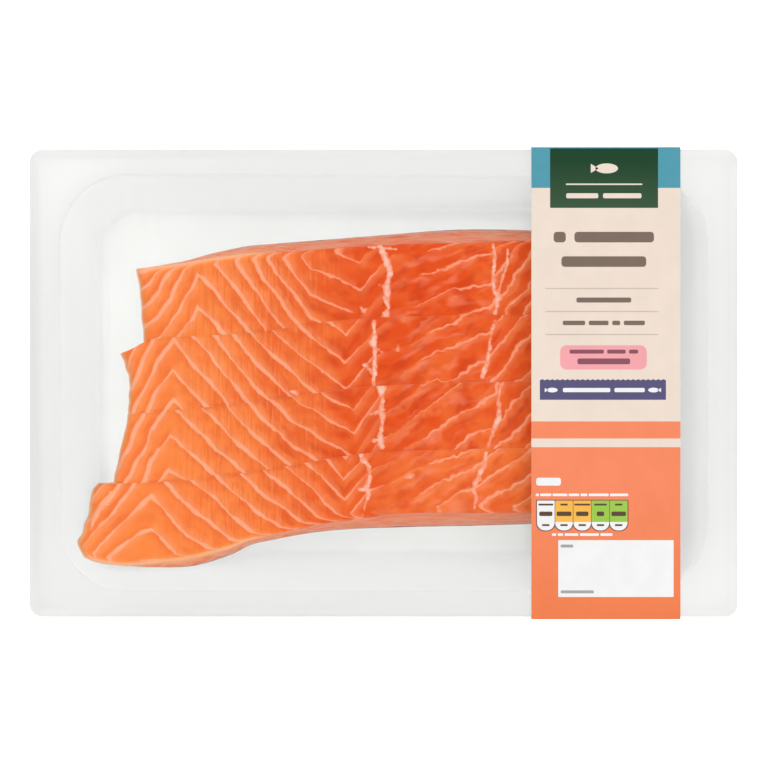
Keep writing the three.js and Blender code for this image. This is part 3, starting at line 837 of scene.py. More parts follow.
# Plates: name, low and high corner, corner radius, level, ink, and segments of a corner.
PLATES = (("badge", (63.2, 66.6), (104.2, 89.2), 0, 0, "green", 6),
          ("badge_rule", (69.2, 75.3), (98.2, 75.85), 0.15, 1, "cream", 6),
          ("pink_box", (67.0, 5.2), (99.9, 14.4), 2.4, 0, "pink", 6),
          ("white_box", (66.3, -81.2), (110.1, -59.6), 0.2, 0, "white", 6),
          ("box_line_upper", (67.2, -62.4), (72.0, -61.3), 0.4, 1, "grey", 3),
          ("box_line_lower", (67.2, -79.8), (79.8, -78.7), 0.4, 1, "grey", 3))

# Rows of blocks: name, widths, place along Y, height, gap, level, ink and centre along X.
ROWS = (("badge_line", (12.2, 14.6), 71.2, 1.9, 1.8, 1, "cream", PRINT_CENTRE),
        ("title_upper", (4.6, 30.2), 55.5, 4.0, 3.3, 0, "brown", PRINT_CENTRE),
        ("title_lower", (32.2,), 46.2, 4.0, 0, 0, "brown", PRINT_CENTRE),
        ("note_upper", (20.8,), 31.6, 1.9, 0, 0, "brown", PRINT_CENTRE),
        ("note_lower", (8.5, 7.5, 3, 8), 22.9, 1.7, 1.4, 0, "brown", PRINT_CENTRE),
        ("pink_upper", (13, 7, 3.4), 12.0, 1.5, 1.3, 1, "plum", PRINT_CENTRE),
        ("pink_lower", (20,), 8.3, 2.2, 0, 1, "plum", PRINT_CENTRE),
        ("navy_line", (18, 11.5), -2.6, 1.6, 1.6, 1, "white", PRINT_CENTRE),
        ("field_title", (9.4,), -37.4, 3.0, 0, 0, "white", 62.6),
        ("field_upper", (1.2, 4.2, 5.6, 4, 2.6, 7.6, 6.9), -42.4, 1.0, 0.5, 0, "white", 75.3),
        ("field_lower", (1.6, 2, 5.2, 7.2, 4.6), -57.5, 1.0, 0.6, 0, "white", 75.4))

# Plain fish: name, centre, length, which way they face (1 right, -1 left), and ink.
FISH = (("badge_fish", (PRINT_CENTRE, 81.6), 11, 1, "cream"),
        ("navy_fish_left", (63.5, -2.6), 5.2, 1, "white"),
        ("navy_fish_right", (103.0, -2.6), 5.2, -1, "white"))
NAVY_BAR = ((59.3, -6.3), (107.2, 1.1))
NAVY_TEETH, NAVY_TOOTH = 25, 0.45
DOTTED_ROWS = (36.0, 27.2, 18.5)
DOTTED_SPAN = (61.7, 104.7)
DOT_PITCH, DOT = 1.02, 0.42

# The panel of cells, from left to right: tint, and the widths of the two blocks in the cell.
PANEL = ((58.1, -56.0), (92.7, -44.6))
CELLS = (("white", 5.6, 5), ("amber", 2.8, 5.6), ("amber", 6, 4.7), ("leaf", 4.8, 2.8), ("leaf", 2.8, 5.5))
CELL_FOOT = 3.4  # height of the white scalloped feet under the coloured cells
CELL_LINE = 0.25  # width of the dark outline


def ink_height(level):
    return bpy.context.scene.fish_sleeve.ink * (level + 1)


def ink_block(flat, level, material):
    """Gives a flat printed shape its thickness, down to the board's surface, and its ink."""
    apply_modifier(flat, "SOLIDIFY", thickness=ink_height(level), offset=-1)
    flat.data.materials.clear()
    flat.data.materials.append(material)
    return flat


def ink_plate(name, low, high, radius, level, material, segments=6):
    """A printed shape as a thin plate with rounded corners."""
    plate = rounded_plate(name, [v * MM for v in low], [v * MM for v in high],
                          SLEEVE_HIGH.z + ink_height(level), radius * MM, segments)
    return ink_block(finish_edit(plate), level, material)


def toothed_bar(name, low, high, teeth, tooth, level, material):
    """A printed bar whose upper edge is cut into small teeth."""
    plate = rounded_plate(name, [v * MM for v in low], [v * MM for v in high],
                          SLEEVE_HIGH.z + ink_height(level), 0)
    pick(plate, "EDGE", lambda place: place.y > 0)
    bpy.ops.mesh.subdivide(number_cuts=2 * teeth - 1)
    width = (high[0] - low[0]) * MM
    pitch = width / (2 * teeth)
    pick(plate, "VERT", lambda place: place.y > 0 and round((place.x + width / 2) / pitch) % 2 == 1)
    bpy.ops.transform.translate(value=(0, tooth * MM, 0))
    return ink_block(finish_edit(plate), level, material)


def fish_mark(name, centre, length, facing, level, material):
    """A plain fish: an oval body and a forked tail, facing 1 to the right or -1 to the left."""
    x, y, top = centre[0] * MM, centre[1] * MM, SLEEVE_HIGH.z + ink_height(level)
    deselect_all()
    bpy.ops.mesh.primitive_circle_add(vertices=28, radius=0.39 * length * MM, fill_type="NGON",
                                      location=(x + facing * 0.1 * length * MM, y, top))
    body = start(name)
    bpy.ops.transform.resize(value=(1, 0.44, 1))
    finish_edit(body)
    deselect_all()
    bpy.ops.mesh.primitive_circle_add(vertices=3, radius=0.18 * length * MM, fill_type="NGON",
                                      location=(x - facing * 0.36 * length * MM, y, top),
                                      rotation=(0, 0, -facing * math.pi / 2))
    tail = finish_edit(start("tail"))
    return ink_block(join([body, tail], name), level, material)


def block_row(name, widths, y, height, gap, level, material, centre):
    """A row of plain rounded blocks about a centre along X."""
    x = centre - (sum(widths) + gap * (len(widths) - 1)) / 2
    blocks = []
    for width in widths:
        blocks.append(ink_plate(name, (x, y - height / 2), (x + width, y + height / 2), height * 0.3, level,
                                material, 3))
        x += width + gap
    return blocks


def cell_panel(ink):
    """The panel of five cells, each with a rounded white foot, on a dark outline."""
    (left, low), (right, high) = PANEL
    step = (right - left) / len(CELLS)
    shapes = [ink_plate("panel_outline", (left - CELL_LINE, low + CELL_FOOT - 0.1),
                        (right + CELL_LINE, high + 0.3), 0.4, 1.5, ink["outline"], 3)]
    for number, (tint, label, value) in enumerate(CELLS):
        x = left + number * step
        middle = x + step / 2
        shapes += [
            ink_plate("foot_outline", (x - CELL_LINE, low - CELL_LINE), (x + step + CELL_LINE, high),
                      step * 0.45, 0, ink["outline"], 8),
            ink_plate("cell_foot", (x + 0.1, low + 0.1), (x + step - 0.1, high - 2), step * 0.43, 1,
                      ink["white"], 8),
            ink_plate("cell", (x + 0.12, low + CELL_FOOT - 0.1), (x + step - 0.12, high), 0.2, 2,
                      ink[tint], 2),
            *block_row("cell_upper", (label,), high - 1.5, 0.7, 0, 3, ink["umber"], middle),
            *block_row("cell_lower", (value,), high - 5.0, 1.7, 0, 3, ink["umber"], middle),
            *block_row("foot_line", (2.8,), low + 2.1, 0.7, 0, 3, ink["umber"], middle)]
    return shapes


class PACK_OT_print(bpy.types.Operator):
    """Adds the plain printed shapes on the sleeve's top panel"""

    bl_idname = "fish_pack.print"
    bl_label = "Print"

    def execute(self, context):
        sizes = context.scene.fish_sleeve
        inks = {name: linear(code) for name, code in INKS.items()}
        inks.update(cream=sizes.cream, pink=sizes.pink, navy=sizes.navy, brown=sizes.brown)
        ink = {name: coated_board("offset_print_" + name, colour) for name, colour in inks.items()}
        ink["green"] = coated_board("offset_print_badge", sizes.green, linear(BADGE_FADED), BADGE_FADE)

        shapes = [ink_plate(name, low, high, radius, level, ink[tint], segments)
                  for name, low, high, radius, level, tint, segments in PLATES]
        for name, widths, y, height, gap, level, tint, centre in ROWS:
            shapes += block_row(name, widths, y, height, gap, level, ink[tint], centre)
        for name, centre, length, facing, tint in FISH:
            shapes.append(fish_mark(name, centre, length, facing, 1, ink[tint]))
        shapes.append(toothed_bar("navy_bar", *NAVY_BAR, NAVY_TEETH, NAVY_TOOTH, 0, ink["navy"]))
        for y in DOTTED_ROWS:
            for k in range(int((DOTTED_SPAN[1] - DOTTED_SPAN[0]) / DOT_PITCH)):
                x = DOTTED_SPAN[0] + k * DOT_PITCH
                shapes.append(ink_plate("dot", (x, y - DOT / 2), (x + DOT, y + DOT / 2), DOT * 0.45, 0,
                                        ink["brown"], 2))
        shapes += cell_panel(ink)
        printed = join(shapes, "sleeve_print")
        belongs(printed, "printed_card")
        return {"FINISHED"}


# ---- fillets ------------------------------------------------------------------------------------

# Plan of the slab of fish in mm, as points (x, y): its two long edges, measured at the skin, and the
# three cuts between the fillets.
TOP_EDGE = [(-118, 43.2), (-96, 45), (-79, 47.9), (-67, 51.2), (-54, 54), (-44, 54.9), (6, 58.9), (18, 59.9),
            (31, 60.6), (57, 60.3), (95, 58.2)]
CUT_1_2 = [(-118, 9), (-101, 12.2), (-90, 17), (-53, 19.4), (-10, 24.8), (56, 26.4), (95, 26)]
CUT_2_3 = [(-118, -13), (-92, -11.5), (-55, -7.8), (-31, -4.5), (-1, -1), (95, 1.5)]
CUT_3_4 = [(-118, -39.5), (-75, -37.6), (-40, -32.5), (-3, -26.7), (95, -24.5)]
BOTTOM_EDGE = [(-119, -61.5), (-117, -65), (-114, -67.6), (-109, -69.6), (-98, -71.2), (-80, -71.6),
               (-71, -70.6), (-60, -67.4), (-52, -63.6), (-44, -61.8), (-28, -58.9), (-13, -57.5), (6, -56.8),
               (57, -55.5), (95, -53)]
TOP_LEAN = [(-96, 0.3), (-79, 1.5), (-54, 4), (6, 5.5), (31, 6.8), (57, 5.6), (95, 5)]
BOTTOM_LEAN = [(-100, 0.6), (-71, 3.6), (-47, 3), (-9, 5.2), (6, 6.8), (57, 5.8), (95, 5)]
UPRIGHT = [(-118, 0), (95, 0)]
THICKNESS = [(-118, 11), (-95, 14), (-60, 18), (-20, 22), (20, 25), (55, 24.5), (80, 20), (95, 14)]
CORNER_LIFT = 14.0  # how far the belly flap climbs the corner of the tray
CORNER_LIFT_SPREAD = 27.0  # distance over which that lift dies away
CORNER_LIFT_AT = (-121, -71)
CUT_HALF_GAP = 0.01  # half the gap between two fillets
EDGE_ROUNDING = 0.5  # width of the rounding along the upper edges of a fillet
EDGE_DROP = 0.05  # height of that rounding
FLOOR_GAP = 0.1  # between the skin and the tray's floor
WALL_CLEARANCE = 0.6  # between the skin and the tray's sloping wall, straight up
THINNEST = 1.8  # least thickness of the flesh, away from the ends
END_ROUNDING = 5.0  # length of the rounded ends
RAGGED_END = 0.22  # unevenness of the left ends
END_SHARPNESS = 2.6  # power of the curve over an end: 2 is round, higher is squarer

# For each fillet: its lower and upper edge, rise, leans, left and right end, then the course of one seam of
# fat as points (x, y), the distance between seams along Y as points (x, mm), and the thick lines and spots of
# fat that cross the seams, each as points (x, y, half width).
FILLETS = {
    "fillet_1": {
        "edges": (CUT_1_2, TOP_EDGE), "rise": 0.0, "leans": (UPRIGHT, TOP_LEAN), "blush": 0.1,
        "left": [(0, -94.2), (0.3, -95), (0.6, -95.6), (1, -97.2)], "right": [(0, 90), (1, 89)],
        "course": [(-94, 14.7), (-87.8, 17.3), (-83.1, 22.4), (-77.7, 31.9), (-72.1, 42.1), (-52.8, 20.9),
                   (-28.4, -12.2), (-8.7, -26.1), (0.9, -14.6), (41.3, -1.1), (60.2, 22.4), (91, 55)],
        "pitch": [(-94, 7.2), (-91, 7.6), (-86, 9.4), (-77, 11.4), (-72, 12.6), (-47, 9.4), (-28, 9.4),
                  (-8.7, 10.4), (41, 10.2), (60, 10.8)],
        "fat": [[(-1.6, 53.4, 0.7), (-1.2, 52, 0.8), (0.3, 48.9, 1.1), (1.8, 45.1, 1.25), (2.2, 42.5, 1.05),
                 (1.8, 39.9, 0.65), (1.1, 36.7, 1.2), (1.4, 32.5, 1.1), (1.8, 28.7, 0.6), (0.9, 26.4, 1.15)],
                [(-1.6, 37.7, 0.3), (1, 36.8, 0.8)],
                [(-6, 52.4, 0.2), (-1.2, 52.2, 0.5), (4.6, 51.6, 0.15)],
                [(-9.2, 29.6, 0.3), (-7.7, 28, 0.75), (-6.6, 28.9, 0.3)],
                [(42, 53.4, 0.3), (42.8, 47.8, 0.45), (41.9, 42, 0.4), (42.3, 35.8, 0.5), (44.1, 33.4, 1.0),
                 (43.3, 28.6, 0.5), (42.8, 25.9, 0.4)],
                [(47.8, 51.6, 0.2), (47.5, 45.9, 0.35), (45.7, 40.1, 0.3), (43.8, 34.3, 0.3)]],
    },
    "fillet_2": {
        "edges": (CUT_2_3, CUT_1_2), "rise": 0.12, "leans": (UPRIGHT, UPRIGHT), "blush": 0.0,
        "left": [(0, -100.6), (0.35, -99.9), (0.62, -100.3), (0.8, -101.7), (1, -103.4)],
        "right": [(0, 92), (1, 91.5)],
        "course": [(-104, -37), (-97, -21.1), (-91.7, -10.9), (-87.4, -2.6), (-81.4, 5.2), (-75.3, -2.6),
                   (-68.6, -9.4), (-28.4, -51.5), (-14.5, -64.6), (-3.7, -52.7), (39.4, -33.8), (60.2, -9.9),
                   (91, 22.4)],
        "pitch": [(-97, 11.6), (-81, 11.6), (-50, 9.2), (-14.5, 10.4), (39, 10.6), (60, 10.6)],
        "fat": [[(-3.7, 24, 0.6), (-3.6, 20.8, 0.55), (-3.6, 18.2, 0.7), (-4, 15.5, 1.3), (-3.4, 13.1, 0.65),
                 (-3.3, 9.2, 0.5), (-3.5, 6, 0.75), (-3.6, 3.3, 0.8), (-3.9, -0.6, 0.5)],
                [(-7.1, 7, 0.6), (-4.2, 3.8, 0.6)],
                [(-5.9, 16.1, 0.3), (-4, 15.5, 0.6)],
                [(-3.1, 13.9, 0.4), (-0.7, 12, 0.1)],
                [(5.4, 14.7, 0.1), (5.6, 12.6, 0.2)],
                [(-35.6, -3.2, 0.3), (-33.8, -4, 0.7)],
                [(42.8, 24.2, 0.35), (41.1, 18, 0.4), (40.7, 12.2, 0.4), (39.5, 7.4, 0.7), (38, 2.6, 1.0)]],
    },
    "fillet_3": {
        "edges": (CUT_3_4, CUT_2_3), "rise": 0.0, "leans": (UPRIGHT, UPRIGHT), "blush": 0.0,
        "left": [(0, -106.2), (0.35, -104.3), (0.7, -102), (1, -100.6)], "right": [(0, 91), (1, 91.8)],
        "course": [(-107, -64), (-98, -46.9), (-93.3, -37.7), (-90.6, -31), (-87.8, -26.3), (-82.7, -20.8),
                   (-71.7, -30.6), (-63.4, -36.5), (-32.2, -62.3), (-11.4, -72.3), (-0.8, -58.8),
                   (41.3, -38.4), (60.2, -20.3), (91, 5)],
        "pitch": [(-98, 12.5), (-82, 12.5), (-55, 9.3), (-11.4, 8.8), (41, 11.2), (60, 10.5)],
        "fat": [[(-1, -1.6, 1.9), (-1, -3.7, 1.0), (-0.6, -5.5, 0.6), (-0.6, -8.2, 0.7), (-1.2, -10.8, 1.2),
                 (-0.2, -13.2, 0.65), (-0.7, -16.6, 0.5), (-1, -19.3, 0.7), (-1.4, -21.9, 1.3),
                 (-0.6, -24.6, 0.7)],
                [(-5.4, -12.1, 0.45), (-1.2, -10.8, 0.8)],
                [(-4.3, -22.2, 0.4), (-1.4, -21.9, 0.8)],
                [(44.8, -1.5, 0.3), (44.3, -7, 0.4), (44.3, -13.3, 1.05), (42.1, -18.6, 0.6),
                 (40.1, -24.6, 0.4)]],
    },
    "fillet_4": {
        "edges": (BOTTOM_EDGE, CUT_3_4), "rise": 0.1, "leans": (BOTTOM_LEAN, UPRIGHT), "blush": -0.3,
        "left": [(0, -115.2), (0.1, -117.8), (0.34, -116.4), (0.775, -114.6), (0.93, -113.8), (1, -112.2)],
        "right": [(0, 87), (1, 89.5)],
        "course": [(-118, -73), (-109.6, -62.6), (-104.7, -57.7), (-100.8, -53.8), (-95.7, -48.7),
                   (-90, -44.2), (-85.1, -49.2), (-80, -55), (-74.6, -59.6), (-14.9, -99.3), (-6.4, -90),
                   (34, -75.8), (60.2, -58.8), (91, -41)],
        "pitch": [(-112, 7.4), (-104, 8), (-98, 9.6), (-90, 12.3), (-60, 9.5), (-15, 7.8), (34, 8.6),
                  (60, 9)],
        "fat": [[(-8.8, -26.9, 0.5), (-8.3, -29.3, 0.8), (-6.2, -31.2, 0.75), (-5.3, -34.1, 0.6),
                 (-5.5, -37.3, 0.65), (-6.7, -40.4, 1.15), (-5.8, -42.6, 0.8), (-6.5, -45.2, 0.25),
                 (-7.7, -48.4, 0.2), (-8.3, -52.1, 0.2)],
                [(-9.6, -41, 0.4), (-6.7, -40.9, 0.8)],
                [(8.3, -36.4, 0.4), (10, -35.7, 0.8), (11.7, -35.2, 0.4)],
                [(39.5, -26.8, 0.35), (38.5, -31.6, 0.7), (36.1, -36.9, 1.0), (34.5, -40.7, 0.65),
                 (35.6, -43.6, 0.5), (34.7, -48.4, 0.35)],
                [(-105.3, -43, 1.1), (-109, -47.2, 1.0), (-111.8, -51.8, 0.6), (-113.3, -56.5, 0.2)]],
    },
}
SEAM_WIDTH = [(-118, 0.54), (-96, 0.64), (-60, 0.64), (-30, 0.5), (-15, 0.38), (-4, 0.28), (4, 0.18),
              (18, 0.32), (30, 0.46), (42, 0.48), (55, 0.46), (90, 0.46)]
REDNESS = [(-118, 0.0), (-80, 0.05), (-45, 0.3), (-22, 0.68), (-8, 1.0), (16, 0.9), (38, 0.78), (52, 0.94),
           (90, 1.0)]
SIDE_RUN = 1.5  # how far a seam is drawn out along a side for each mm of depth
EDGE_HOOK = 6.0  # how far a seam bends along an outer edge
EDGE_HOOK_SPREAD = 3.0  # distance from the edge at which the bend begins
LEAN_SPAN = 2.2  # reach over which the slant of a seam is averaged
NUDGE = 0.05  # step over which the distance between seams is measured
FLAKE_RELIEF = 0.22  # how far the flakes stand over the seams
RELIEF_MARGIN = 2.5  # the relief grows from nothing over this distance inside the edges
END_STATIONS = 11  # stations over a rounded end
EDGE_CROWDING = 0.04  # how much closer the points lie along the long edges
SIDE_BULGE = 0.22  # bulge of a side for each mm that it leans out
SIDE_GROOVES = 0.16  # unevenness of a leaning side
FIRST_SEED, SEED_STEP = 40, 11  # for the uneven waves of each fillet
FAR = 10.0  # stands for out of reach of an edge
HALF_SPLIT = 10.0  # distance from the lower edge past which a point belongs to the upper half
SIDE_DEPTH = 2.6  # depth over which the tone of the slanting cut comes in
# Stretches of X, in mm, over which something comes in or goes out.
LOIN_FROM = (-4, 12)
YELLOW_EDGE = (-20, -60)
NO_SKIN_SHOWS = (-92, -104)
FIBROUS_FROM, FIBROUS_TO = (-96, -62), (-10, -30)
HAZY_FROM, HAZY_TO = (0, 10), (48, 36)
BLUSH_FROM = (-30, 10)


def through(points):
    """A smooth curve through points (a, b), as a function of a."""
    a, b = np.array(points, float).T
    before = np.maximum(np.arange(len(a)) - 1, 0)
    after = np.minimum(np.arange(len(a)) + 1, len(a) - 1)
    slope = (b[after] - b[before]) / (a[after] - a[before])

    def curve(x):
        x = np.asarray(x, float)
        i = np.clip(np.searchsorted(a, x, side="right") - 1, 0, len(a) - 2)
        span = a[i + 1] - a[i]
        t = np.clip((x - a[i]) / span, 0, 1)
        rise = b[i] * (2 * t**3 - 3 * t**2 + 1) + b[i + 1] * (3 * t**2 - 2 * t**3)
        return rise + span * (slope[i] * (t**3 - 2 * t**2 + t) + slope[i + 1] * (t**3 - t**2))
    return curve


def along_points(points, x):
    """A straight-sided course through points (a, b)."""
    a, b = np.array(points, float).T
    return np.interp(x, a, b)


def waves(x, y, size, seed):
    """Gentle uneven waves between about -1 and 1, with features about size mm across."""
    random = np.random.default_rng(seed)
    total = 0.0
    for _ in range(7):
        angle, phase = random.uniform(0, 2 * math.pi, 2)
        stretch = random.uniform(0.6, 1.7)
        k = 2 * math.pi / (size * stretch)
        total = total + np.sin(k * (x * math.cos(angle) + y * math.sin(angle)) + phase)
    return total / 3.2


def outside_lines(x, y, lines):
    """Distance in plan to the border of lines of fat, negative inside them."""
    nearest = np.full(np.shape(x), 1e3)
    for points in lines:
        for (x0, y0, half0), (x1, y1, half1) in zip(points[:-1], points[1:]):
            dx, dy = x1 - x0, y1 - y0
            t = np.clip(((x - x0) * dx + (y - y0) * dy) / (dx * dx + dy * dy), 0, 1)
            away = np.hypot(x - x0 - t * dx, y - y0 - t * dy)
            nearest = np.minimum(nearest, away - half0 - t * (half1 - half0))
    return nearest


def wall_height(x, y):
    """Height of the tray's inner wall over its floor, in mm, at a place in plan."""
    sizes = bpy.context.scene.fish_tray
    depth = (TRAY_HIGH.z - TRAY_LOW.z - sizes.sheet) / MM
    inset, down = np.array(wall_steps(sizes, depth * MM)).T / MM
    outside = from_outline(x, y, sizes.mouth_length / MM, sizes.mouth_width / MM, sizes.mouth_radius / MM)
    return depth - np.interp(-outside, inset, down)


def skin_height(x, y):
    wall = wall_height(x, y)
    return np.where(wall > 0.01, wall + WALL_CLEARANCE, FLOOR_GAP)


def flesh_height(x, y):
    away = np.hypot(x - CORNER_LIFT_AT[0], y - CORNER_LIFT_AT[1]) / CORNER_LIFT_SPREAD
    return through(THICKNESS)(x) + CORNER_LIFT * np.exp(-away**2)


def seam_phase(shape, seed, x, y):
    """Whole numbers of this value are the seams of fat."""
    loin = smooth_step(x, *LOIN_FROM)
    bent_x = x + (0.45 + 0.5 * loin) * waves(x, y, 17, seed) + (0.1 + 0.3 * loin) * waves(x, y, 4.6, seed + 1)
    bent_y = (y + (0.5 + 0.7 * loin) * waves(x, y, 18, seed + 2)
              + (0.1 + 0.35 * loin) * waves(x, y, 4, seed + 3))
    return (bent_y - along_points(shape["course"], bent_x)) / along_points(shape["pitch"], bent_x)


def fillet_points(shape, sizes, seed):
    """The points of one fillet as rings along X, and for each point of a ring its region (0 top, 1 upper
    side, 2 skin, 3 lower side), the height of the edge over it, the lean of its side, and its distances
    from the long edges and from the ends. All in mm."""
    lower_edge, upper_edge = (through(edge) for edge in shape["edges"])
    lower_lean, upper_lean = (through(lean) for lean in shape["leans"])
    left_curve, right_end = through(shape["left"]), through(shape["right"])
    spacing = sizes.spacing / MM

    def left_end(v):
        return left_curve(v) + RAGGED_END * waves(34 * v, 0 * v, 9, seed + 12)

    # Stations along the fillet, crowded over its rounded ends.
    length = float(right_end(0.5) - left_end(0.5))
    end = END_ROUNDING * (1 - np.cos(np.linspace(0, math.pi / 2, END_STATIONS)))
    body = np.linspace(END_ROUNDING, length - END_ROUNDING, int((length - 2 * END_ROUNDING) / spacing))
    inside = np.concatenate([end[:-1], body, length - end[-2::-1]])
    u = inside / length
    t = np.clip(1 - np.minimum(inside, length - inside) / END_ROUNDING, 0, 1)
    share = ((1 - t**END_SHARPNESS) ** (1 / END_SHARPNESS))[:, None]

    # Places across it, crowded over its rounded long edges.
    v = np.linspace(0, 1, int(float(upper_edge(-20) - lower_edge(-20)) / spacing))
    v = v - EDGE_CROWDING * np.sin(2 * math.pi * v)
    uu, vv = np.meshgrid(u, v, indexing="ij")

    x = left_end(vv) + uu * (right_end(vv) - left_end(vv))
    y0 = lower_edge(x) + CUT_HALF_GAP + lower_lean(x) * share
    y1 = upper_edge(x) - CUT_HALF_GAP - upper_lean(x) * share
    y = y0 + vv * (y1 - y0)
    from_side = np.minimum(vv, 1 - vv) * (y1 - y0)
    t = np.clip(1 - from_side / EDGE_ROUNDING, 0, 1)
    drop = EDGE_DROP * (1 - np.sqrt(1 - t**2))
    bottom = skin_height(x, y)
    phase = seam_phase(shape, seed, x, y)
    flake = 1 - np.abs(2 * (phase - np.floor(phase)) - 1) ** 5
    relief = FLAKE_RELIEF * flake + 0.35 * waves(x, y, 19, seed + 4) + 0.10 * waves(x, y, 6, seed + 5)
    relief = relief * smooth_step(from_side, 0, RELIEF_MARGIN)
    full = np.maximum(flesh_height(x, y) + shape["rise"] - drop + relief, bottom + THINNEST)
    top = np.stack([x, y, bottom + share * (full - bottom)], -1)

    skin_y0 = lower_edge(x) + CUT_HALF_GAP
    skin_y1 = upper_edge(x) - CUT_HALF_GAP
    skin_y = skin_y0 + vv * (skin_y1 - skin_y0)
    skin = np.stack([x, skin_y, skin_height(x, skin_y)], -1)

    # The sides, bulging a little where they lean, and tucked in at the skin.
    side_count = int(float(through(THICKNESS)(0)) / (1.5 * spacing))
    depth = (np.arange(side_count) + 1) / (side_count + 1)
    swelling = np.sin(math.pi * depth)[None, :]

    def side_points(column, lean, outwards):
        high, low = top[:, column, None, :], skin[:, column, None, :]
        points = high + (low - high) * depth[None, :, None]
        bulge = swelling * np.minimum(lean, 3)[:, None] * SIDE_BULGE
        grooves = SIDE_GROOVES * waves(points[..., 0] / 6, points[..., 2] * 2.2, 2.6, seed + 6)
        grooves = grooves * np.minimum(lean, 1)[:, None]
        points[..., 1] += outwards * (bulge + grooves) * share * swelling ** 0.5
        return points

    def around(over, upper, under, lower):
        """Values for whole rings; those of a side are the same all the way down."""
        return np.concatenate([over, np.repeat(upper[:, None], side_count, 1), under,
                               np.repeat(lower[:, None], side_count, 1)], 1)

    lean_above, lean_below = upper_lean(x[:, -1]), lower_lean(x[:, 0])
    rings = np.concatenate([top, side_points(-1, lean_above, 1), skin[:, ::-1],
                            side_points(0, lean_below, -1)[:, ::-1]], 1)
    count = len(v)
    region = np.repeat([0, 1, 2, 3], [count, side_count, count, side_count])
    z = top[..., 2]
    edge_z = around(z, z[:, -1], np.repeat(z[:, :1], count, 1), z[:, 0])
    leaning = around(0 * x, lean_above, 0 * x, lean_below)
    from_side = around(from_side, 0 * u, from_side[:, ::-1], 0 * u)
    from_end = np.minimum(u, 1 - u) * length
    from_end = around(from_end[:, None] + 0 * x, from_end, from_end[:, None] + 0 * x, from_end)
    return rings, region, edge_z, leaning, from_side, from_end


def fillet_attributes(shape, seed, rings, region, edge_z, leaning, from_side, from_end):
    """What the material reads at each point of a fillet."""
    x, y, z = rings[..., 0], rings[..., 1], rings[..., 2]
    on_side = ((region == 1) | (region == 3))[None, :]
    outer = np.clip(leaning / 1.5, 0, 1)
    depth = np.where(on_side, edge_z - z, 0)

    # A seam bends along an outer edge before it goes over, and is drawn out along the side.
    upper_half = y > (rings[:, :1, 1] + rings[:, 1:2, 1]) / 2 + HALF_SPLIT
    is_outer = np.where(upper_half, shape["leans"][1] is not UPRIGHT, shape["leans"][0] is not UPRIGHT)
    hook = EDGE_HOOK * np.clip(1 - from_side / EDGE_HOOK_SPREAD, 0, 1) ** 2
    seen_x = x + SIDE_RUN * depth * outer - hook * is_outer
    seen_y = np.clip(y, rings[:, :1, 1], rings[:, int((region == 0).sum()) - 1, 1][:, None])

    def phase_at(dx, dy):
        return seam_phase(shape, seed, seen_x + dx, seen_y + dy)

    phase = phase_at(0, 0)
    slope_x = (phase_at(NUDGE, 0) - phase) / NUDGE
    slope_y = (phase_at(0, NUDGE) - phase) / NUDGE
    wide_slope = (phase_at(LEAN_SPAN, 0) - phase_at(-LEAN_SPAN, 0)) / (2 * LEAN_SPAN)
    slope = np.hypot(slope_x, np.where(on_side, slope_x * SIDE_RUN, slope_y))
    apart = 1 / np.maximum(slope, 1e-3)

    # Where the painted glow of thin edges goes: near the ends in the left half, and near the outer sides,
    # most towards the thin end.
    yellow_edge = smooth_step(x, *YELLOW_EDGE)
    rim_side = np.where(is_outer, from_side + 4 * (1 - yellow_edge), FAR)
    rim = np.minimum(np.where(x < 0, from_end, FAR), rim_side)
    over_skin = np.where(region == 0, FAR, z - skin_height(x, y) + 4 * smooth_step(x, *NO_SKIN_SHOWS))
    redness = (along_points(REDNESS, x) + 0.10 * waves(x, y, 40, seed + 7)
               + shape["blush"] * smooth_step(x, *BLUSH_FROM))
    return {
        "seam": phase,
        "apart": np.clip(apart, 2, 14),
        "lean": np.clip(wide_slope * apart, -1, 1),
        "width": along_points(SEAM_WIDTH, x) * np.where(on_side, 0.8, 1),
        "septum": np.clip(outside_lines(x, seen_y, shape["fat"]) + 0.5 * depth, -3, 6),
        "redness": np.clip(redness, 0, 1),
        "rim": np.clip(rim, 0, FAR),
        "side": np.where(on_side, smooth_step(depth, 0.0, SIDE_DEPTH) * outer, 0),
        "cut": np.clip(np.where(is_outer | (from_end < 2), FAR, from_side), 0, FAR),
        "skin": np.where((region == 2) & (from_end > 0.2), -2, np.clip(over_skin, 0, FAR)),
        "fibrous": smooth_step(x, *FIBROUS_FROM) * smooth_step(x, *FIBROUS_TO),
        "hazy": smooth_step(x, *HAZY_FROM) * smooth_step(x, *HAZY_TO),
    }


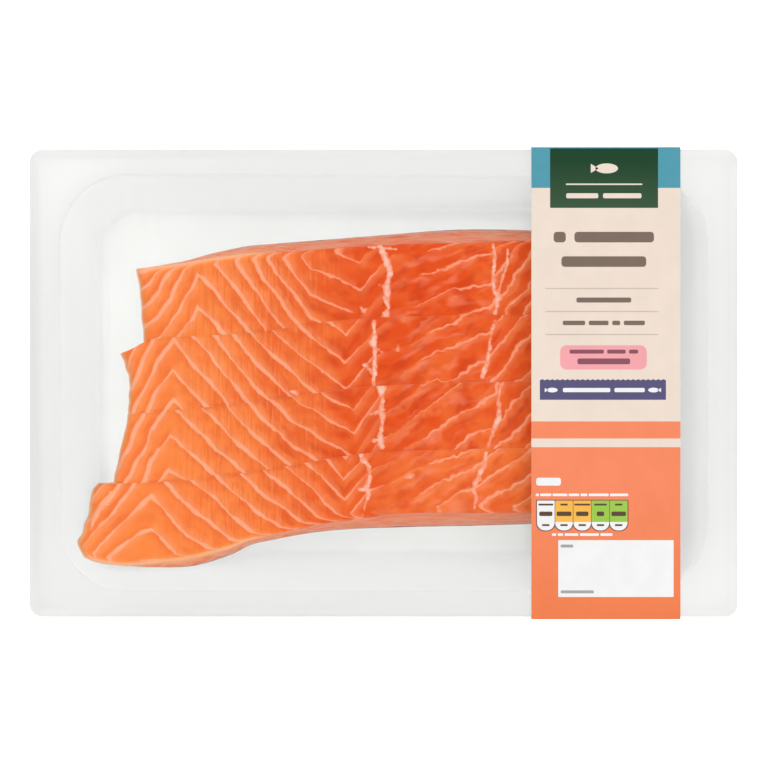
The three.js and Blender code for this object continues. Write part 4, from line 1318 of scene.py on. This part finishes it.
def make_fillet(name, seed, sizes):
    """One fillet as a closed mesh, with what its material reads."""
    shape = FILLETS[name]
    rings, *rest = fillet_points(shape, sizes, seed)
    values = fillet_attributes(shape, seed, rings, *rest)
    floor = TRAY_LOW.z / MM + bpy.context.scene.fish_tray.sheet / MM
    stations, count = rings.shape[:2]
    points = rings.reshape(-1, 3) + (0, 0, floor)
    corner = np.arange(stations * count).reshape(stations, count)
    this, following = corner[:-1], corner[1:]
    quads = np.stack([this, following, np.roll(following, -1, 1), np.roll(this, -1, 1)], -1).reshape(-1, 4)
    mesh = bpy.data.meshes.new(name + "_flesh")
    mesh.from_pydata(points * MM, [], quads.tolist())
    for label, value in values.items():
        write_attribute(mesh, label, np.broadcast_to(value, (stations, count)))
    piece = bpy.data.objects.new(name + "_flesh", mesh)
    bpy.context.scene.collection.objects.link(piece)
    deselect_all()
    piece.select_set(True)
    bpy.context.view_layer.objects.active = piece
    # Both ends run out to a line where the top meets the skin: their double points are merged.
    bpy.ops.object.mode_set(mode="EDIT")
    bpy.ops.mesh.select_all(action="SELECT")
    bpy.ops.mesh.remove_doubles(threshold=0.004 * MM)
    bpy.ops.mesh.normals_make_consistent(inside=False)
    bpy.ops.object.mode_set(mode="OBJECT")
    bpy.ops.object.shade_smooth_by_angle(angle=math.radians(50))
    return piece


class PACK_OT_fillets(bpy.types.Operator):
    """Adds the four fillets with their flakes, seams of fat and skin"""

    bl_idname = "fish_pack.fillets"
    bl_label = "Fillets"

    def execute(self, context):
        sizes = context.scene.fish_fillets
        flesh = salmon_flesh(sizes)
        for number, name in enumerate(FILLET_NAMES):
            piece = make_fillet(name, FIRST_SEED + SEED_STEP * number, sizes)
            piece.data.materials.append(flesh)
            # It throws no reddish light or reflection on the tray, which stays a clean white.
            piece.visible_diffuse = piece.visible_glossy = False
            belongs(piece, "salmon_flesh", name)
        return {"FINISHED"}


# ---- stage --------------------------------------------------------------------------------------


def area_lamp(name, place, size, power):
    """A large square lamp that faces the pack."""
    data = bpy.data.lights.new(name, "AREA")
    data.shape = "SQUARE"
    data.size = size
    data.energy = power
    lamp = bpy.data.objects.new(name, data)
    bpy.context.scene.collection.objects.link(lamp)
    lamp.location = place
    lamp.rotation_euler = (-Vector(place)).to_track_quat("-Z", "Y").to_euler()
    return lamp


# Each lamp: its name, its place in metres, its size and its share of the power.
LAMPS = (("key_lamp", (-0.5, 0.3, 1.15), 0.8, 1.05),
         ("far_lamp", (0.1, 0.7, 1.05), 0.8, 0.9),
         ("near_lamp", (0.05, -0.7, 1.05), 0.8, 0.95),
         ("side_lamp", (0.7, -0.1, 1.0), 0.8, 0.85))
TABLE_SIZE = 6
TABLE_GAP = 0.05 * MM
CAMERA_OFFSET = (0.1 * MM, -0.3 * MM)  # from the middle of the pack


class PACK_OT_stage(bpy.types.Operator):
    """Adds the light table, the soft studio light and the camera straight above"""

    bl_idname = "fish_pack.stage"
    bl_label = "Stage"

    def execute(self, context):
        sizes = context.scene.fish_stage
        deselect_all()
        bpy.ops.mesh.primitive_plane_add(size=TABLE_SIZE, location=(0, 0, -TABLE_GAP))
        table = start("studio_table")
        finish_edit(table)
        table.data.materials.append(studio_floor())

        for name, place, size, share in LAMPS:
            area_lamp(name, place, size, sizes.key * share)
        world = bpy.data.worlds.new("daylight")
        world.use_nodes = True
        world.node_tree.nodes["Background"].inputs["Color"].default_value = linear("#ffffff")
        world.node_tree.nodes["Background"].inputs["Strength"].default_value = sizes.daylight
        context.scene.world = world

        data = bpy.data.cameras.new("camera")
        data.sensor_width = 36
        data.lens = sizes.lens
        camera = bpy.data.objects.new("camera", data)
        context.scene.collection.objects.link(camera)
        camera.location = (*CAMERA_OFFSET, TRAY_HIGH.z + sizes.camera_height)
        context.scene.camera = camera
        context.scene.view_settings.view_transform = "Standard"
        return {"FINISHED"}


# ---- panel and registration ---------------------------------------------------------------------

STEPS = (PACK_OT_stage, PACK_OT_tray, PACK_OT_fillets, PACK_OT_film, PACK_OT_sleeve, PACK_OT_print)
GROUPS = {"fish_tray": TraySizes, "fish_film": FilmSizes, "fish_sleeve": SleeveSizes,
          "fish_fillets": FilletSizes, "fish_stage": StageSizes}


class PACK_PT_panel(bpy.types.Panel):
    """Lists the steps that build the pack"""

    bl_label = "Pack of Salmon Fillets"
    bl_idname = "PACK_PT_panel"
    bl_space_type = "VIEW_3D"
    bl_region_type = "UI"
    bl_category = "Fish Pack"

    def draw(self, context):
        for step in STEPS:
            self.layout.operator(step.bl_idname)
        for group in GROUPS:
            box = self.layout.box()
            settings = getattr(context.scene, group)
            for name in settings.bl_rna.properties.keys():
                if name not in ("rna_type", "name"):
                    box.prop(settings, name)


def register():
    for kind in (*GROUPS.values(), *STEPS, PACK_PT_panel):
        bpy.utils.register_class(kind)
    for name, kind in GROUPS.items():
        setattr(bpy.types.Scene, name, PointerProperty(type=kind))


def unregister():
    for name in GROUPS:
        delattr(bpy.types.Scene, name)
    for kind in reversed((*GROUPS.values(), *STEPS, PACK_PT_panel)):
        bpy.utils.unregister_class(kind)


def main():
    register()
    for step in STEPS:
        area, name = step.bl_idname.split(".")
        getattr(getattr(bpy.ops, area), name)()


if __name__ == "__main__":
    main()
